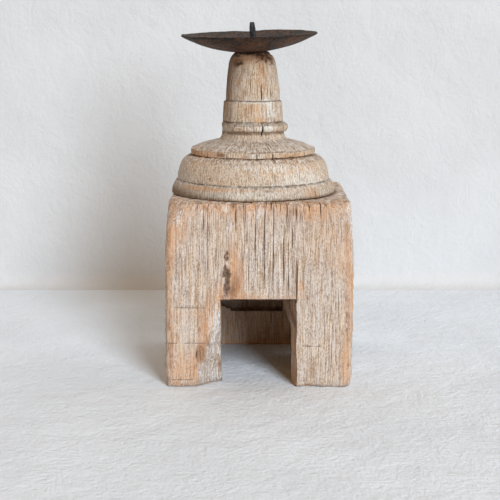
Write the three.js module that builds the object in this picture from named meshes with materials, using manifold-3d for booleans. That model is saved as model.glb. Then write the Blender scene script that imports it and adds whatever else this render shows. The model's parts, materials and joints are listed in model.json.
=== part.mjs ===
// Candle holder: one carved and turned wooden post with an iron drip dish and a forged pricket.
// Millimetres, +Z up, the origin on the surface it stands on, under the middle of the square block.
// The front, where the arch is, faces -Y, and +X is to the right of someone who looks at it.
import * as THREE from "three";
import { mergeVertices } from "three/addons/utils/BufferGeometryUtils.js";
import Module from "manifold-3d";

const wasm = await Module();
wasm.setup();

// Square block
const blockWidth = 115;
const blockDepth = 115;
const blockHeight = 115.2;
const topInset = 2.2; // how far each side leans in from the foot to the top
const footRound = 4; // radius along the lower edges
const topRound = 3.5; // radius along the upper edges
const cornerRound = 4.5; // radius of the four upright edges
const leftCornerWear = 16; // worn off the upper front corners, measured along each edge
const rightCornerWear = 12;
const cornerWearDrop = 18; // how far down the wear runs

// Front arch, which is a rail mortise cut open at the foot
const archWidth = 47;
const archHeight = 55.5;
const archSkew = 3; // how far the right cheek of the arch comes in towards the cavity
const frontWall = 13.8;

// Cavity under the block
const cavityWidth = 56;
const cavityHeight = 59;
const rearWall = 11.6;

// Blind mortise in the inner face of the rear wall
const recessWidth = 37.5;
const recessSill = 24.5; // height of its lower edge
const recessDepth = 7.6;

// Mortise in the right side, next to the rear wall
const sideMortiseWidth = 25;
const sideMortiseHeight = 36;

// Broken inner edge of the front left leg
const breakWidth = 15.6; // on the front face, at the foot
const breakMidWidth = 12.6; // on the front face, at the bend in the break
const breakMidHeight = 25;
const breakHeight = 51;
const breakDepth = 10.6; // on the cheek of the arch, at the foot
const breakMidDepth = 8.5; // on the cheek, at the bend

// Turned post: radii, and heights above the block's top
const postAxisX = -3.4;
const plinthRadius = 52.4;
const plinthTopRadius = 49.7;
const plinthHeight = 8.3;
const plinthRound = 3.2; // how far below its top the plinth starts to lean in
const grooveWidth = 0.8;
const grooveDepth = 1;
const ovoloRadius = 49;
const ovoloHeight = 15.2;
const ovoloLean = 1; // how far its side leans in before it bends over
const ovoloBend = 3.8; // from its top down to where it bends over
const ovoloShoulder = 5.3; // how far its shoulder stands out past the lip
const lipRadius = 40.1;
const lipHeight = 3.2;
const lipRound = 1.6;
const discCrownRadius = 24;
const discCrownRise = 4.9;
const discSlope = 6.4; // length of the steeper outer part of its slope
const waistRadius = 20;
const waistRise = 5.6;
const beadRadius = 22.9;
const beadHeight = 5.8;
const bandRadius = 19.8;
const bandTopRadius = 18.6;
const bandHeight = 12.8;
const neckRadius = 17.2;
const neckTopRadius = 15.1;
const neckHeight = 21.5;
const neckUpright = 8.6; // height over which the neck hardly tapers
const crownRadius = 9.6; // of the flat on top
const crownHeight = 10.2;
const crownShoulder = 3.6; // from the flat down to where the side bends over
const crownLean = 0.5; // how far the side leans in before it bends over

// The bead is broken off over this stretch, in degrees from the front towards the left
const beadBreakStart = 31;
const beadBreakEnd = 128;
const beadBreakRadius = 20.1;

// Iron dish
const dishRadius = 43;
const dishDepth = 10.8; // outside, from the seat to the rim
const dishSheet = 1.6;
const dishFloorRadius = 9; // the flat in the middle
const dishSwell = 2.2; // how full the wall is half way out, above the seat
const dishRimRound = 0.6;
const dishOffsetX = -1.7; // the middle of the dish, from the pricket
const seatSink = 0.4; // how far the crown is levelled for the dish, at the pricket
const tiltForward = 3.2; // degrees, front edge down
const tiltLeft = 1.7; // degrees, left edge down

// Forged pricket: a spike and a tang of square iron with a round shoulder between them
const spikeBase = 3.8;
const spikeTip = 2;
const spikeRise = 15.6; // above the shoulder
const spikeShank = 7; // height over which the spike keeps its thickness
const spikeNeck = 12.5; // height at which it has thinned to its neck
const spikeNeckWidth = 2.9;
const spikeLean = 0.6; // how far the tip is bent to the left
const shoulderRadius = 4.6;
const shoulderThickness = 1.4;
const tangTop = 3.6;
const tangEnd = 2.2;
const tangLength = 34; // below the dish

// Clearance between pieces that touch
const seatGap = 0.3;
const holeGap = 0.3;

// Steps round a full turn, and along an arc of a profile
const turnSteps = 60;
const arcSteps = 5;

// How far a cutting body reaches past what it cuts
const over = 5;

// Heights of the post's parts above the ground
const plinthTop = blockHeight + plinthHeight;
const ovoloTop = plinthTop + grooveWidth + ovoloHeight;
const lipBottom = ovoloTop + grooveWidth;
const lipTop = lipBottom + lipHeight;
const discCrown = lipTop + discCrownRise;
const beadBottom = discCrown + waistRise;
const beadTop = beadBottom + beadHeight;
const bandBottom = beadTop + grooveWidth;
const bandTop = bandBottom + bandHeight;
const neckTop = bandTop + neckHeight;
const crownTop = neckTop + crownHeight;
const seatHeight = crownTop - seatSink;

const frontY = -blockDepth / 2;
const rearWallY = blockDepth / 2 - rearWall;
const radians = THREE.MathUtils.degToRad;

// A closed three.js geometry as a manifold solid
function solidOf(geometry) {
  const bare = geometry.index ? geometry.toNonIndexed() : geometry.clone();
  bare.deleteAttribute("normal");
  bare.deleteAttribute("uv");
  const merged = mergeVertices(bare, 1e-4);
  return new wasm.Manifold(
    new wasm.Mesh({
      numProp: 3,
      vertProperties: merged.attributes.position.array,
      triVerts: new Uint32Array(merged.index.array),
    }),
  );
}

// A manifold solid as a three.js geometry
function geometryOf(solid) {
  const mesh = solid.getMesh();
  const geometry = new THREE.BufferGeometry();
  geometry.setAttribute("position", new THREE.BufferAttribute(mesh.vertProperties, 3));
  geometry.setIndex(new THREE.BufferAttribute(mesh.triVerts, 1));
  const flat = geometry.toNonIndexed();
  flat.computeVertexNormals();
  return flat;
}

// A box between two corners
function boxBetween(low, high) {
  const size = high.map((value, i) => value - low[i]);
  const box = new THREE.BoxGeometry(...size);
  box.translate(...low.map((value, i) => value + size[i] / 2));
  return solidOf(box);
}

// An outline drawn in X and Z, extruded along Y
function extrudeAlongY(shape, fromY, toY) {
  const geometry = new THREE.ExtrudeGeometry(shape, {
    depth: toY - fromY,
    bevelEnabled: false,
    curveSegments: arcSteps,
  });
  geometry.rotateX(Math.PI / 2);
  geometry.translate(0, toY, 0);
  return solidOf(geometry);
}

// A body under a plane: the plane goes through three points, and the body lies on its far side from inside
function cutterBeyond(a, b, c, inside, reach) {
  const [pa, pb, pc, pin] = [a, b, c, inside].map((p) => new THREE.Vector3(...p));
  const plane = new THREE.Plane().setFromCoplanarPoints(pa, pb, pc);
  if (plane.distanceToPoint(pin) > 0) plane.negate();
  const box = new THREE.BoxGeometry(2 * reach, 2 * reach, reach);
  box.translate(0, 0, reach / 2);
  const turn = new THREE.Quaternion().setFromUnitVectors(new THREE.Vector3(0, 0, 1), plane.normal);
  box.applyQuaternion(turn);
  box.translate(...pa.add(pb).add(pc).divideScalar(3).toArray());
  return solidOf(box);
}

// The block seen from one side: it leans in towards the top, and its edges are rounded
function blockOutline(width) {
  const foot = width / 2;
  const top = foot - topInset;
  const shape = new THREE.Shape();
  shape.moveTo(-foot + footRound, 0);
  shape.lineTo(foot - footRound, 0);
  shape.quadraticCurveTo(foot, 0, foot, footRound);
  shape.lineTo(top, blockHeight - topRound);
  shape.quadraticCurveTo(top, blockHeight, top - topRound, blockHeight);
  shape.lineTo(-top + topRound, blockHeight);
  shape.quadraticCurveTo(-top, blockHeight, -top, blockHeight - topRound);
  shape.lineTo(-foot, footRound);
  shape.quadraticCurveTo(-foot, 0, -foot + footRound, 0);
  return shape;
}

// The block seen from above
function blockPlan() {
  const x = blockWidth / 2;
  const y = blockDepth / 2;
  const shape = new THREE.Shape();
  shape.moveTo(-x + cornerRound, -y);
  shape.lineTo(x - cornerRound, -y);
  shape.quadraticCurveTo(x, -y, x, -y + cornerRound);
  shape.lineTo(x, y - cornerRound);
  shape.quadraticCurveTo(x, y, x - cornerRound, y);
  shape.lineTo(-x + cornerRound, y);
  shape.quadraticCurveTo(-x, y, -x, y - cornerRound);
  shape.lineTo(-x, -y + cornerRound);
  shape.quadraticCurveTo(-x, -y, -x + cornerRound, -y);
  return shape;
}

// The wear on an upper front corner: side is -1 on the left and 1 on the right
function cornerWear(side, wear) {
  const x = side * (blockWidth / 2 - topInset);
  const y = frontY + topInset;
  return cutterBeyond(
    [x - side * wear, y, blockHeight],
    [x, y + wear, blockHeight],
    [x, y, blockHeight - cornerWearDrop],
    [0, 0, blockHeight / 2],
    blockWidth / 2,
  );
}

function buildBlock() {
  const fromFront = extrudeAlongY(blockOutline(blockWidth), -blockDepth, blockDepth);
  const fromSide = extrudeAlongY(blockOutline(blockDepth), -blockWidth, blockWidth).rotate([0, 0, 90]);
  const plan = new THREE.ExtrudeGeometry(blockPlan(), {
    depth: blockHeight + 2 * over,
    bevelEnabled: false,
    curveSegments: arcSteps,
  });
  plan.translate(0, 0, -over);
  return fromFront
    .intersect(fromSide)
    .intersect(solidOf(plan))
    .subtract(cornerWear(-1, leftCornerWear))
    .subtract(cornerWear(1, rightCornerWear));
}

// The turned post as one profile, from its root inside the block to its crown
function postProfile() {
  const rootZ = blockHeight - over;
  const path = new THREE.Path();
  path.moveTo(0, rootZ);
  path.lineTo(plinthRadius - over, rootZ);
  path.lineTo(plinthRadius, blockHeight);
  path.quadraticCurveTo(plinthRadius, plinthTop - plinthRound, plinthTopRadius, plinthTop);
  path.lineTo(plinthTopRadius - grooveDepth, plinthTop + grooveWidth / 2);
  path.lineTo(ovoloRadius, plinthTop + grooveWidth);
  path.bezierCurveTo(
    ovoloRadius - ovoloLean,
    ovoloTop - ovoloBend,
    lipRadius + ovoloShoulder,
    ovoloTop - grooveWidth,
    lipRadius - grooveDepth,
    ovoloTop,
  );
  path.lineTo(lipRadius, lipBottom);
  path.lineTo(lipRadius, lipTop - lipRound / 2);
  path.quadraticCurveTo(lipRadius, lipTop, lipRadius - lipRound, lipTop + lipRound / 4);
  path.quadraticCurveTo(lipRadius - discSlope, discCrown - lipRound, discCrownRadius, discCrown);
  path.quadraticCurveTo(waistRadius, discCrown + grooveWidth, waistRadius, beadBottom);
  path.bezierCurveTo(
    beadRadius,
    beadBottom,
    beadRadius + grooveDepth,
    beadTop,
    bandRadius - grooveDepth / 2,
    beadTop,
  );
  path.lineTo(bandRadius, bandBottom);
  path.lineTo(bandTopRadius, bandTop);
  path.lineTo(neckRadius, bandTop + grooveWidth / 2);
  path.quadraticCurveTo(neckRadius, bandTop + neckUpright, neckTopRadius, neckTop);
  path.quadraticCurveTo(neckTopRadius - crownLean, crownTop - crownShoulder, crownRadius, crownTop);
  path.lineTo(0, crownTop);
  return path.getPoints(arcSteps);
}

// The frame that the iron pieces share: its origin is where the pricket meets the dish's underside
function dishFrame() {
  const frame = new THREE.Group();
  frame.position.set(postAxisX, 0, seatHeight);
  frame.rotation.set(radians(tiltForward), radians(-tiltLeft), 0);
  frame.updateMatrixWorld(true);
  return frame;
}

// A body in the dish's frame as a solid in the part's frame
function placedInDish(geometry) {
  return solidOf(geometry.clone().applyMatrix4(dishFrame().matrixWorld));
}

// Square sections, each [middle x, height, width], joined into one closed bar
function squareBar(sections) {
  const corners = [
    [-1, -1],
    [1, -1],
    [1, 1],
    [-1, 1],
  ];
  const points = sections.flatMap(([x, z, width]) =>
    corners.map(([i, j]) => [x + (i * width) / 2, (j * width) / 2, z]),
  );
  const faces = [];
  const last = 4 * (sections.length - 1);
  faces.push(0, 2, 1, 0, 3, 2, last, last + 1, last + 2, last, last + 2, last + 3);
  for (let ring = 0; ring < last; ring += 4) {
    for (let side = 0; side < 4; side += 1) {
      const a = ring + side;
      const b = ring + ((side + 1) % 4);
      faces.push(a, b, b + 4, a, b + 4, a + 4);
    }
  }
  const bar = new THREE.BufferGeometry();
  bar.setAttribute("position", new THREE.Float32BufferAttribute(points.flat(), 3));
  bar.setIndex(faces);
  return bar;
}

function tangBar(grown) {
  return squareBar([
    [0, -tangLength - grown, tangEnd + 2 * grown],
    [0, dishSheet + over, tangTop + 2 * grown],
  ]);
}

function buildStand() {
  const post = new THREE.LatheGeometry(postProfile(), turnSteps);
  post.rotateX(Math.PI / 2);
  post.translate(postAxisX, 0, 0);

  const cavity = boxBetween(
    [-cavityWidth / 2, frontY + frontWall, -over],
    [cavityWidth / 2, rearWallY, cavityHeight],
  );
  const recess = boxBetween(
    [-recessWidth / 2, rearWallY - over, recessSill],
    [recessWidth / 2, rearWallY + recessDepth, cavityHeight],
  );
  const sideMortise = boxBetween(
    [0, rearWallY - sideMortiseWidth, -over],
    [blockWidth, rearWallY, sideMortiseHeight],
  );

  const seat = new THREE.BoxGeometry(4 * neckRadius, 4 * neckRadius, 4 * crownHeight);
  seat.translate(0, 0, 2 * crownHeight - seatGap);

  return buildBlock()
    .add(solidOf(post))
    .subtract(archCutter())
    .subtract(cavity)
    .subtract(recess)
    .subtract(sideMortise)
    .subtract(legBreak())
    .subtract(beadBreak())
    .subtract(placedInDish(seat))
    .subtract(placedInDish(tangBar(holeGap)));
}

// The arch seen from above, extruded to its height: its right cheek comes in towards the cavity
function archCutter() {
  const cheek = archWidth / 2;
  const wallY = frontY + frontWall;
  const plan = new THREE.Shape();
  plan.moveTo(-cheek, frontY - over);
  plan.lineTo(cheek, frontY - over);
  plan.lineTo(cheek, frontY);
  plan.lineTo(cheek - archSkew, wallY);
  plan.lineTo(cheek - archSkew, wallY + over);
  plan.lineTo(-cheek, wallY + over);
  const arch = new THREE.ExtrudeGeometry(plan, { depth: archHeight + over, bevelEnabled: false });
  arch.translate(0, 0, -over);
  return solidOf(arch);
}

// What has split off the inner edge of the front left leg
function legBreak() {
  const edgeX = -archWidth / 2;
  const inside = [-blockWidth / 2, 0, breakMidHeight];
  const foot = [edgeX - breakWidth, frontY, 0];
  const bend = [edgeX - breakMidWidth, frontY, breakMidHeight];
  const tip = [edgeX, frontY, breakHeight];
  const cheek = [edgeX, frontY + breakDepth, 0];
  const cheekBend = [edgeX, frontY + breakMidDepth, breakMidHeight];
  const reach = blockHeight;
  const room = boxBetween(
    [edgeX - 2 * breakWidth, frontY - over, -over],
    [edgeX + over, frontY + breakDepth + over, breakHeight],
  );
  const lower = cutterBeyond(foot, bend, cheek, inside, reach);
  const upper = cutterBeyond(bend, tip, cheekBend, inside, reach);
  return room.intersect(lower.add(upper));
}

// The stretch where the bead is broken off, as a sector of a ring
function beadBreak() {
  const fromAngle = -Math.PI / 2 - radians(beadBreakEnd);
  const toAngle = -Math.PI / 2 - radians(beadBreakStart);
  const sector = new THREE.Shape();
  sector.absarc(0, 0, beadRadius + over, fromAngle, toAngle, false);
  sector.absarc(0, 0, beadBreakRadius, toAngle, fromAngle, true);
  const ring = new THREE.ExtrudeGeometry(sector, {
    depth: beadHeight,
    bevelEnabled: false,
    curveSegments: 4 * arcSteps,
  });
  ring.translate(postAxisX, 0, beadBottom);
  return solidOf(ring);
}

// The dish's section, from its middle out to the rim and back: a flat floor, then a wall that curves up
function dishProfile() {
  const bend = (dishFloorRadius + dishRadius) / 2;
  const path = new THREE.Path();
  path.moveTo(0, 0);
  path.lineTo(dishFloorRadius, 0);
  path.quadraticCurveTo(bend, dishSwell, dishRadius, dishDepth - dishRimRound);
  path.lineTo(dishRadius - dishRimRound, dishDepth);
  path.quadraticCurveTo(bend - dishRimRound, dishSwell + dishSheet, dishFloorRadius, dishSheet);
  path.lineTo(0, dishSheet);
  return path.getPoints(2 * arcSteps);
}

function buildDish() {
  const bowl = new THREE.LatheGeometry(dishProfile(), turnSteps);
  bowl.rotateX(Math.PI / 2);
  bowl.translate(dishOffsetX, 0, 0);
  return solidOf(bowl).subtract(solidOf(tangBar(holeGap)));
}

function buildPricket() {
  const shoulderBottom = dishSheet + seatGap;
  const shoulderTop = shoulderBottom + shoulderThickness;
  const shoulder = new THREE.CylinderGeometry(
    shoulderRadius - shoulderThickness / 2,
    shoulderRadius,
    shoulderThickness,
    turnSteps / 3,
  );
  shoulder.rotateX(Math.PI / 2);
  shoulder.translate(0, 0, shoulderBottom + shoulderThickness / 2);
  const middle = shoulderBottom + shoulderThickness / 2;
  const spike = squareBar([
    [0, middle, spikeBase],
    [0, shoulderTop + spikeShank, spikeBase],
    [-spikeLean / 2, shoulderTop + spikeNeck, spikeNeckWidth],
    [-spikeLean, shoulderTop + spikeRise, spikeTip],
  ]);
  const tang = squareBar([
    [0, -tangLength, tangEnd],
    [0, middle, tangTop],
  ]);
  return solidOf(shoulder).add(solidOf(spike)).add(solidOf(tang));
}

const weatheredWood = new THREE.MeshStandardMaterial({ color: 0xc9a684, roughness: 0.92, metalness: 0 });
const forgedIron = new THREE.MeshStandardMaterial({ color: 0x4a3f38, roughness: 0.62, metalness: 0.85 });
const darkIron = new THREE.MeshStandardMaterial({ color: 0x2f2f33, roughness: 0.55, metalness: 0.9 });

function piece(name, solid, material) {
  const mesh = new THREE.Mesh(geometryOf(solid), material);
  mesh.name = name;
  return mesh;
}

const candleHolder = new THREE.Group();
candleHolder.add(piece("wooden_stand", buildStand(), weatheredWood));
const dish = dishFrame();
dish.add(piece("drip_dish", buildDish(), forgedIron));
dish.add(piece("pricket", buildPricket(), darkIron));
candleHolder.add(dish);

export default candleHolder;
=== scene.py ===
"""Candle holder made from an old turned bed leg: the timber stand, the iron drip dish and the pricket.

Shapes are worked out in millimetres in the model's own frame, and the meshes are made in metres.
The front, where the arch is, faces -Y, and +Z is up. An angle round the post is 0 at the front
and grows towards the right.
"""

import json
import math
from types import SimpleNamespace

import bpy
import numpy as np
from bpy.props import FloatProperty, FloatVectorProperty, PointerProperty
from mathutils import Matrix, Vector


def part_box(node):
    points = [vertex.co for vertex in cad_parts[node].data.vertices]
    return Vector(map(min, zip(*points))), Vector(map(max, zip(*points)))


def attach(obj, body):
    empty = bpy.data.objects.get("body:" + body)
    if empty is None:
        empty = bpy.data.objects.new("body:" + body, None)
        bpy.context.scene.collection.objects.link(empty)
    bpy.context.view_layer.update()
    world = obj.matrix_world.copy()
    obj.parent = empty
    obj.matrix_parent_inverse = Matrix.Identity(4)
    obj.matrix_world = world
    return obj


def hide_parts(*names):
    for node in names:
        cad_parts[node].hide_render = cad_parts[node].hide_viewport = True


bl_info = {
    "name": "Candle holder",
    "version": (1, 0, 0),
    "blender": (4, 5, 0),
    "location": "3D View > Sidebar > Candle holder",
    "description": "Builds a weathered timber candle holder with an iron dish and spike",
    "category": "Add Mesh",
}

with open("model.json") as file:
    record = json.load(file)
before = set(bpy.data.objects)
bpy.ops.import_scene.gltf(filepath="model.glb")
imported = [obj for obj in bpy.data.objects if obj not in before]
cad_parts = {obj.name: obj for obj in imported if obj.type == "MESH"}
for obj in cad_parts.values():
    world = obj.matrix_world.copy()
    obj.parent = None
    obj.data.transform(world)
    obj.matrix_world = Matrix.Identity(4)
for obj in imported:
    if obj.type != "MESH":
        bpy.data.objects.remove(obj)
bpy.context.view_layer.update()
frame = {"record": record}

MM = 0.001

# The body that every piece rides on
BODY = "root"

# Steps of the surfaces.
COARSE = 1.0
COLUMN_STEP = 0.72 * COARSE
SIDE_COLUMN_STEP = 0.95 * COARSE
ROW_STEP = 1.25 * COARSE
TURNED_ROW_STEP = 0.85 * COARSE
TURNED_COLUMN_ANGLE = 0.72 * COARSE
INNER_STEP = 1.3 * COARSE


def to_mm(vector):
    return np.array(vector) / MM


# Half the block's width, and where the post's axis stands, left or right of the block's middle
HALF = to_mm(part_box("wooden_stand")[1])[0]
POST_AXIS_X = -3.3

# The dish is tilted: its own up is the axis of the seat that the candle comes to rest on
SEAT = {mount["name"]: mount for mount in frame["record"]["mounts"]}["candle_seat"]
DISH_UP = np.array(SEAT["axis"]) / np.linalg.norm(SEAT["axis"])


def paint(red, green, blue):
    """A colour given as the eye reads it, from 0 to 255, turned into linear values from 0 to 1"""
    shares = np.array([red, green, blue]) / 255
    linear = np.where(shares <= 0.04045, shares / 12.92, ((shares + 0.055) / 1.055) ** 2.4)
    return tuple(float(value) for value in linear)


def length(name, description, millimetres):
    """A length that the user can change"""
    return FloatProperty(
        name=name, description=description, default=millimetres * MM, soft_min=0, unit="LENGTH", precision=4
    )


def colour(name, description, red, green, blue):
    """A colour that the user can change"""
    return FloatVectorProperty(
        name=name, description=description, default=paint(red, green, blue), subtype="COLOR", min=0, max=1
    )


class BlockSizes(bpy.types.PropertyGroup):
    """The square block at the foot"""

    height: length("Height", "From the ground to the ledge that the post stands on", 115.2)
    belly: length("Belly height", "Where the block is widest", 24)
    lean: length("Lean", "How far each side leans in from the belly to the ledge", 2.1)
    foot_rise: length("Foot rounding height", "Height of the rounding along the lower edges", 4.6)
    foot_inset: length("Foot rounding width", "Width of the rounding along the lower edges", 2.8)
    edge_drop: length("Edge rounding height", "Height of the rounding along the upper edges", 3.4)
    edge_inset: length("Edge rounding width", "Width of the rounding along the upper edges", 2)
    corner: length("Corner radius", "Radius of the upright edges", 4.4)
    left_wear: length("Left corner wear", "Added to the radius of the upper left front corner", 13)
    right_wear: length("Right corner wear", "Added to the radius of the upper right front corner", 9.5)
    right_swell: length("Right side swell", "How far the right side stands out above the foot", 1.3)
    back_wear: length("Back corner wear", "Added to the radius of the upper back corners", 5)
    wear_drop: length("Wear height", "How far down the worn corners reach", 19)


class HollowSizes(bpy.types.PropertyGroup):
    """What is cut out of the block"""

    arch_half: length("Arch half width", "From the middle to the cheeks of the arch", 23.5)
    arch_height: length("Arch height", "From the ground to the arch's top", 55.5)
    arch_skew: length("Arch skew", "How far the right cheek comes in towards the hollow", 3)
    front_wall: length("Front wall", "Thickness of the wall that the arch goes through", 13.8)
    cavity_half: length("Hollow half width", "From the middle to the hollow's side walls", 28)
    cavity_height: length("Hollow height", "From the ground to the hollow's ceiling", 59)
    rear_wall: length("Rear wall", "Thickness of the rear wall", 11.6)
    recess_half: length("Recess half width", "Of the blind mortise in the rear wall", 18.75)
    recess_sill: length("Recess sill", "Height of the blind mortise's lower edge", 24.5)
    recess_depth: length("Recess depth", "Depth of the blind mortise", 7.6)
    mortise_width: length("Side mortise width", "Of the mortise low in the right side", 25)
    mortise_height: length("Side mortise height", "Of the mortise low in the right side", 36)
    split_depth: length("Split depth", "Depth of the broken inner edge of the left leg", 10.6)


class PostSizes(bpy.types.PropertyGroup):
    """The turned post"""

    axis_x: length("Axis", "Place of the post's axis, left or right of the block's middle", POST_AXIS_X)
    top_drift: length("Drift", "How far the post's axis drifts to the left at its top", 0.4)
    plinth: length("Plinth radius", "Radius of the lowest ring at its foot", 52.6)
    plinth_top: length("Plinth top radius", "Radius of the lowest ring at its top", 49.8)
    plinth_height: length("Plinth height", "Height of the lowest ring", 8.3)
    groove: length("Groove", "Width of the turned grooves", 0.9)
    ovolo: length("Ovolo radius", "Radius of the swelling above the lowest ring", 49)
    ovolo_height: length("Ovolo height", "Height of that swelling", 15.2)
    lip: length("Lip radius", "Radius of the disc's edge", 40.2)
    lip_height: length("Lip height", "Height of the disc's edge", 3.3)
    disc_crown: length("Disc crown radius", "Where the disc's slope turns up into the waist", 24)
    disc_rise: length("Disc rise", "Height of the disc's slope", 4.9)
    waist: length("Waist radius", "Radius below the bead", 20)
    waist_rise: length("Waist rise", "Height of the waist", 5.6)
    bead: length("Bead radius", "Radius of the bead", 23.5)
    bead_height: length("Bead height", "Height of the bead", 5.8)
    bead_broken: length("Broken bead radius", "Radius where the bead is broken off", 20)
    band: length("Band radius", "Radius of the band at its foot", 19.8)
    band_top: length("Band top radius", "Radius of the band at its top", 18.6)
    band_height: length("Band height", "Height of the band", 12.8)
    neck: length("Neck radius", "Radius of the neck at its foot", 17.2)
    neck_top: length("Neck top radius", "Radius of the neck below the crown", 15.1)
    neck_height: length("Neck height", "Height of the neck", 21.5)
    crown: length("Crown radius", "Radius of the flat under the dish", 9.6)
    crown_height: length("Crown height", "Height of the rounded crown", 10.2)


class IronSizes(bpy.types.PropertyGroup):
    """The dish and the pricket"""

    dish_radius: length("Dish radius", "Radius of the dish at its rim", 43)
    dish_offset: length("Dish offset", "How far the dish's middle lies to the left of the pricket", 2)
    dish_depth: length("Dish depth", "From the seat to the rim", 11.4)
    dish_floor: length("Dish floor radius", "Radius of the flat in the middle of the dish", 9)
    dish_swell: length("Dish swell", "Height of the wall where it starts to rise", 1.5)
    dish_rack: length("Dish rack", "How far the dish is bent up at its left and down at its right", 0.4)
    sheet: length("Sheet thickness", "Thickness of the dish in the middle", 1.6)
    rim: length("Rim thickness", "Thickness of the dish at its rim", 0.8)
    shoulder: length("Shoulder radius", "Radius of the pricket's shoulder", 4.6)
    shoulder_height: length("Shoulder height", "Height of the pricket's shoulder", 1.4)
    spike_width: length("Spike width", "Thickness of the spike's square bar", 3.8)
    spike_tip: length("Spike tip", "Thickness at the blunt tip", 2.7)
    spike_rise: length("Spike rise", "From the shoulder to the tip", 15.1)
    spike_set: length("Spike set", "How far the bar stands to the right of its shoulder's middle", 0.5)
    spike_lean: length("Spike lean", "How far the tip is bent to the left", 0.45)
    tang_width: length("Tang width", "Thickness of the tang below the shoulder", 3.6)
    tang_tip: length("Tang tip", "Thickness at the tang's end", 2.2)
    tang_length: length("Tang length", "From the dish's underside down to the tang's end", 34)
    gap: length("Gap", "Clearance between pieces that touch", 0.3)
    place: length("Place", "Where the pricket stands, left or right of the block's middle", -3.4)


class Finishes(bpy.types.PropertyGroup):
    """The colours of the surfaces"""

    wood_light: colour("Pale wood", "Bleached fibres", 211, 195, 180)
    wood_middle: colour("Middle wood", "The common tone of the timber", 197, 178, 161)
    wood_deep: colour("Deep wood", "The furrows between the fibres", 168, 142, 121)
    wood_warm: colour("Warm wood", "Rubbed edges and patches where the surface has gone", 203, 150, 106)
    wood_grey: colour("Grey wood", "Silvered timber", 176, 167, 158)
    # Brown stains, pores and crumbs, and the band right under the dish, which is partly painted shade
    wood_brown: colour("Brown wood", "Sheltered timber inside the hollow and under the dish", 122, 82, 54)
    # Painted shade inside the checks and scribed lines, and the dark filler of the filled groove
    crack_shade_and_filler: colour("Cracks", "The dark inside of the cracks", 60, 42, 31)
    lime: colour("Limewash", "Old limewash left in hollows", 226, 223, 219)
    turned_tint: colour("Tint of the post", "Laid over the turned post, which is yellower", 252, 250, 243)
    iron_dark: colour("Dark iron", "Scale on the iron", 41, 36, 34)
    iron_brown: colour("Brown iron", "Even brown rust", 82, 58, 44)
    iron_rust: colour("Rust", "Orange rust in spots", 144, 90, 55)
    iron_dust: colour("Dusty iron", "Greyish iron inside the dish", 84, 77, 71)
    spike_iron: colour("Spike iron", "The dark bar of the spike", 20, 19, 20)
    spike_bright: colour("Bright iron", "Rubbed patches of the spike", 52, 51, 52)
    floor: colour("Floor", "The plain floor", 234, 239, 244)
    wall: colour("Wall", "The plain wall", 213, 213, 213)


def lengths(group):
    """A group's lengths in millimetres"""
    names = type(group).__annotations__
    return SimpleNamespace(**{name: getattr(group, name) / MM for name in names})


# Noise that is the same at every run

WORD = 0xFFFFFFFF
LOW_HALF = 0xFFFF

# Large odd numbers that scatter neighbouring cells: for each axis, for the seed, and for stirring
AXIS_FACTORS = (374761393, 668265263, 1440662683)
SEED_FACTOR = 1274126177
STIRS = ((15, 2246822519), (13, 3266489917))


def lattice_value(cells, seed):
    """A number from -1 to 1 that belongs to each whole-numbered point"""
    key = seed * SEED_FACTOR
    for axis, factor in enumerate(AXIS_FACTORS):
        key = key + cells[..., axis] * factor
    key = key & WORD
    for shift, factor in STIRS:
        key = ((key ^ (key >> shift)) * factor) & WORD
    return ((key ^ (key >> 16)) & LOW_HALF) / (LOW_HALF / 2) - 1


def noise(points, size, seed):
    """Smooth noise from -1 to 1. size is the width of its swells in millimetres, one number or three"""
    places = points / np.array(size, float)
    low = np.floor(places)
    share = places - low
    share = share * share * (3 - 2 * share)
    cells = low.astype(np.int64)
    total = np.zeros(points.shape[:-1])
    for corner in np.ndindex(2, 2, 2):
        weight = np.prod(np.where(corner, share, 1 - share), axis=-1)
        total += weight * lattice_value(cells + np.array(corner), seed)
    return total


def layers(points, size, seed, count):
    """Noise with finer and fainter noise on top"""
    size = np.array(size, float)
    total = sum(noise(points, size / 2**n, seed + n) / 2**n for n in range(count))
    return total / (2 - 0.5 ** (count - 1))


def smooth(value, low, high):
    """Rises from 0 to 1 between low and high"""
    share = np.clip((value - low) / (high - low), 0, 1)
    return share * share * (3 - 2 * share)


def hump(offset, wide):
    """1 where the offset is nothing, and fades away over about that width to both sides"""
    return np.exp(-((offset / wide) ** 2))


# Meshes made of rings

# What is painted on the timber: four tones, the last of them painted shade with some dirt, and four marks.
# The dish has two tones of its own
WARM, GREY, LIME, SHADE_AND_DIRT = range(4)
CHECK, SPLIT, BROWN, GROOVE = range(4)
INSIDE, EDGE = range(2)


def ring_faces(rows, columns, joined):
    """Four-sided faces between rings of points. joined closes the last ring on the first"""
    row = np.arange(rows if joined else rows - 1)[:, None]
    column = np.arange(columns)[None, :]
    after = (column + 1) % columns
    above = (row + 1) % rows
    ring = row * columns
    next_ring = above * columns
    corners = [ring + column, ring + after, next_ring + after, next_ring + column]
    return np.stack(corners, axis=-1).reshape(-1, 4)


def end_faces(rows, columns):
    """Fans from a point before the first ring and a point past the last one"""
    column = np.arange(columns)
    after = (column + 1) % columns
    first_point = rows * columns
    last_ring = (rows - 1) * columns
    first = np.stack([np.full(columns, first_point), after, column], axis=-1)
    last = np.stack([np.full(columns, first_point + 1), last_ring + column, last_ring + after], axis=-1)
    return np.concatenate([first, last])


def outward(points):
    """The direction away from the surface at each point of a set of rings"""
    across = np.roll(points, -1, axis=1) - np.roll(points, 1, axis=1)
    along = np.gradient(points, axis=0)
    normal = np.cross(across, along)
    size = np.linalg.norm(normal, axis=-1, keepdims=True)
    return normal / np.maximum(size, 1e-9)


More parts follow.
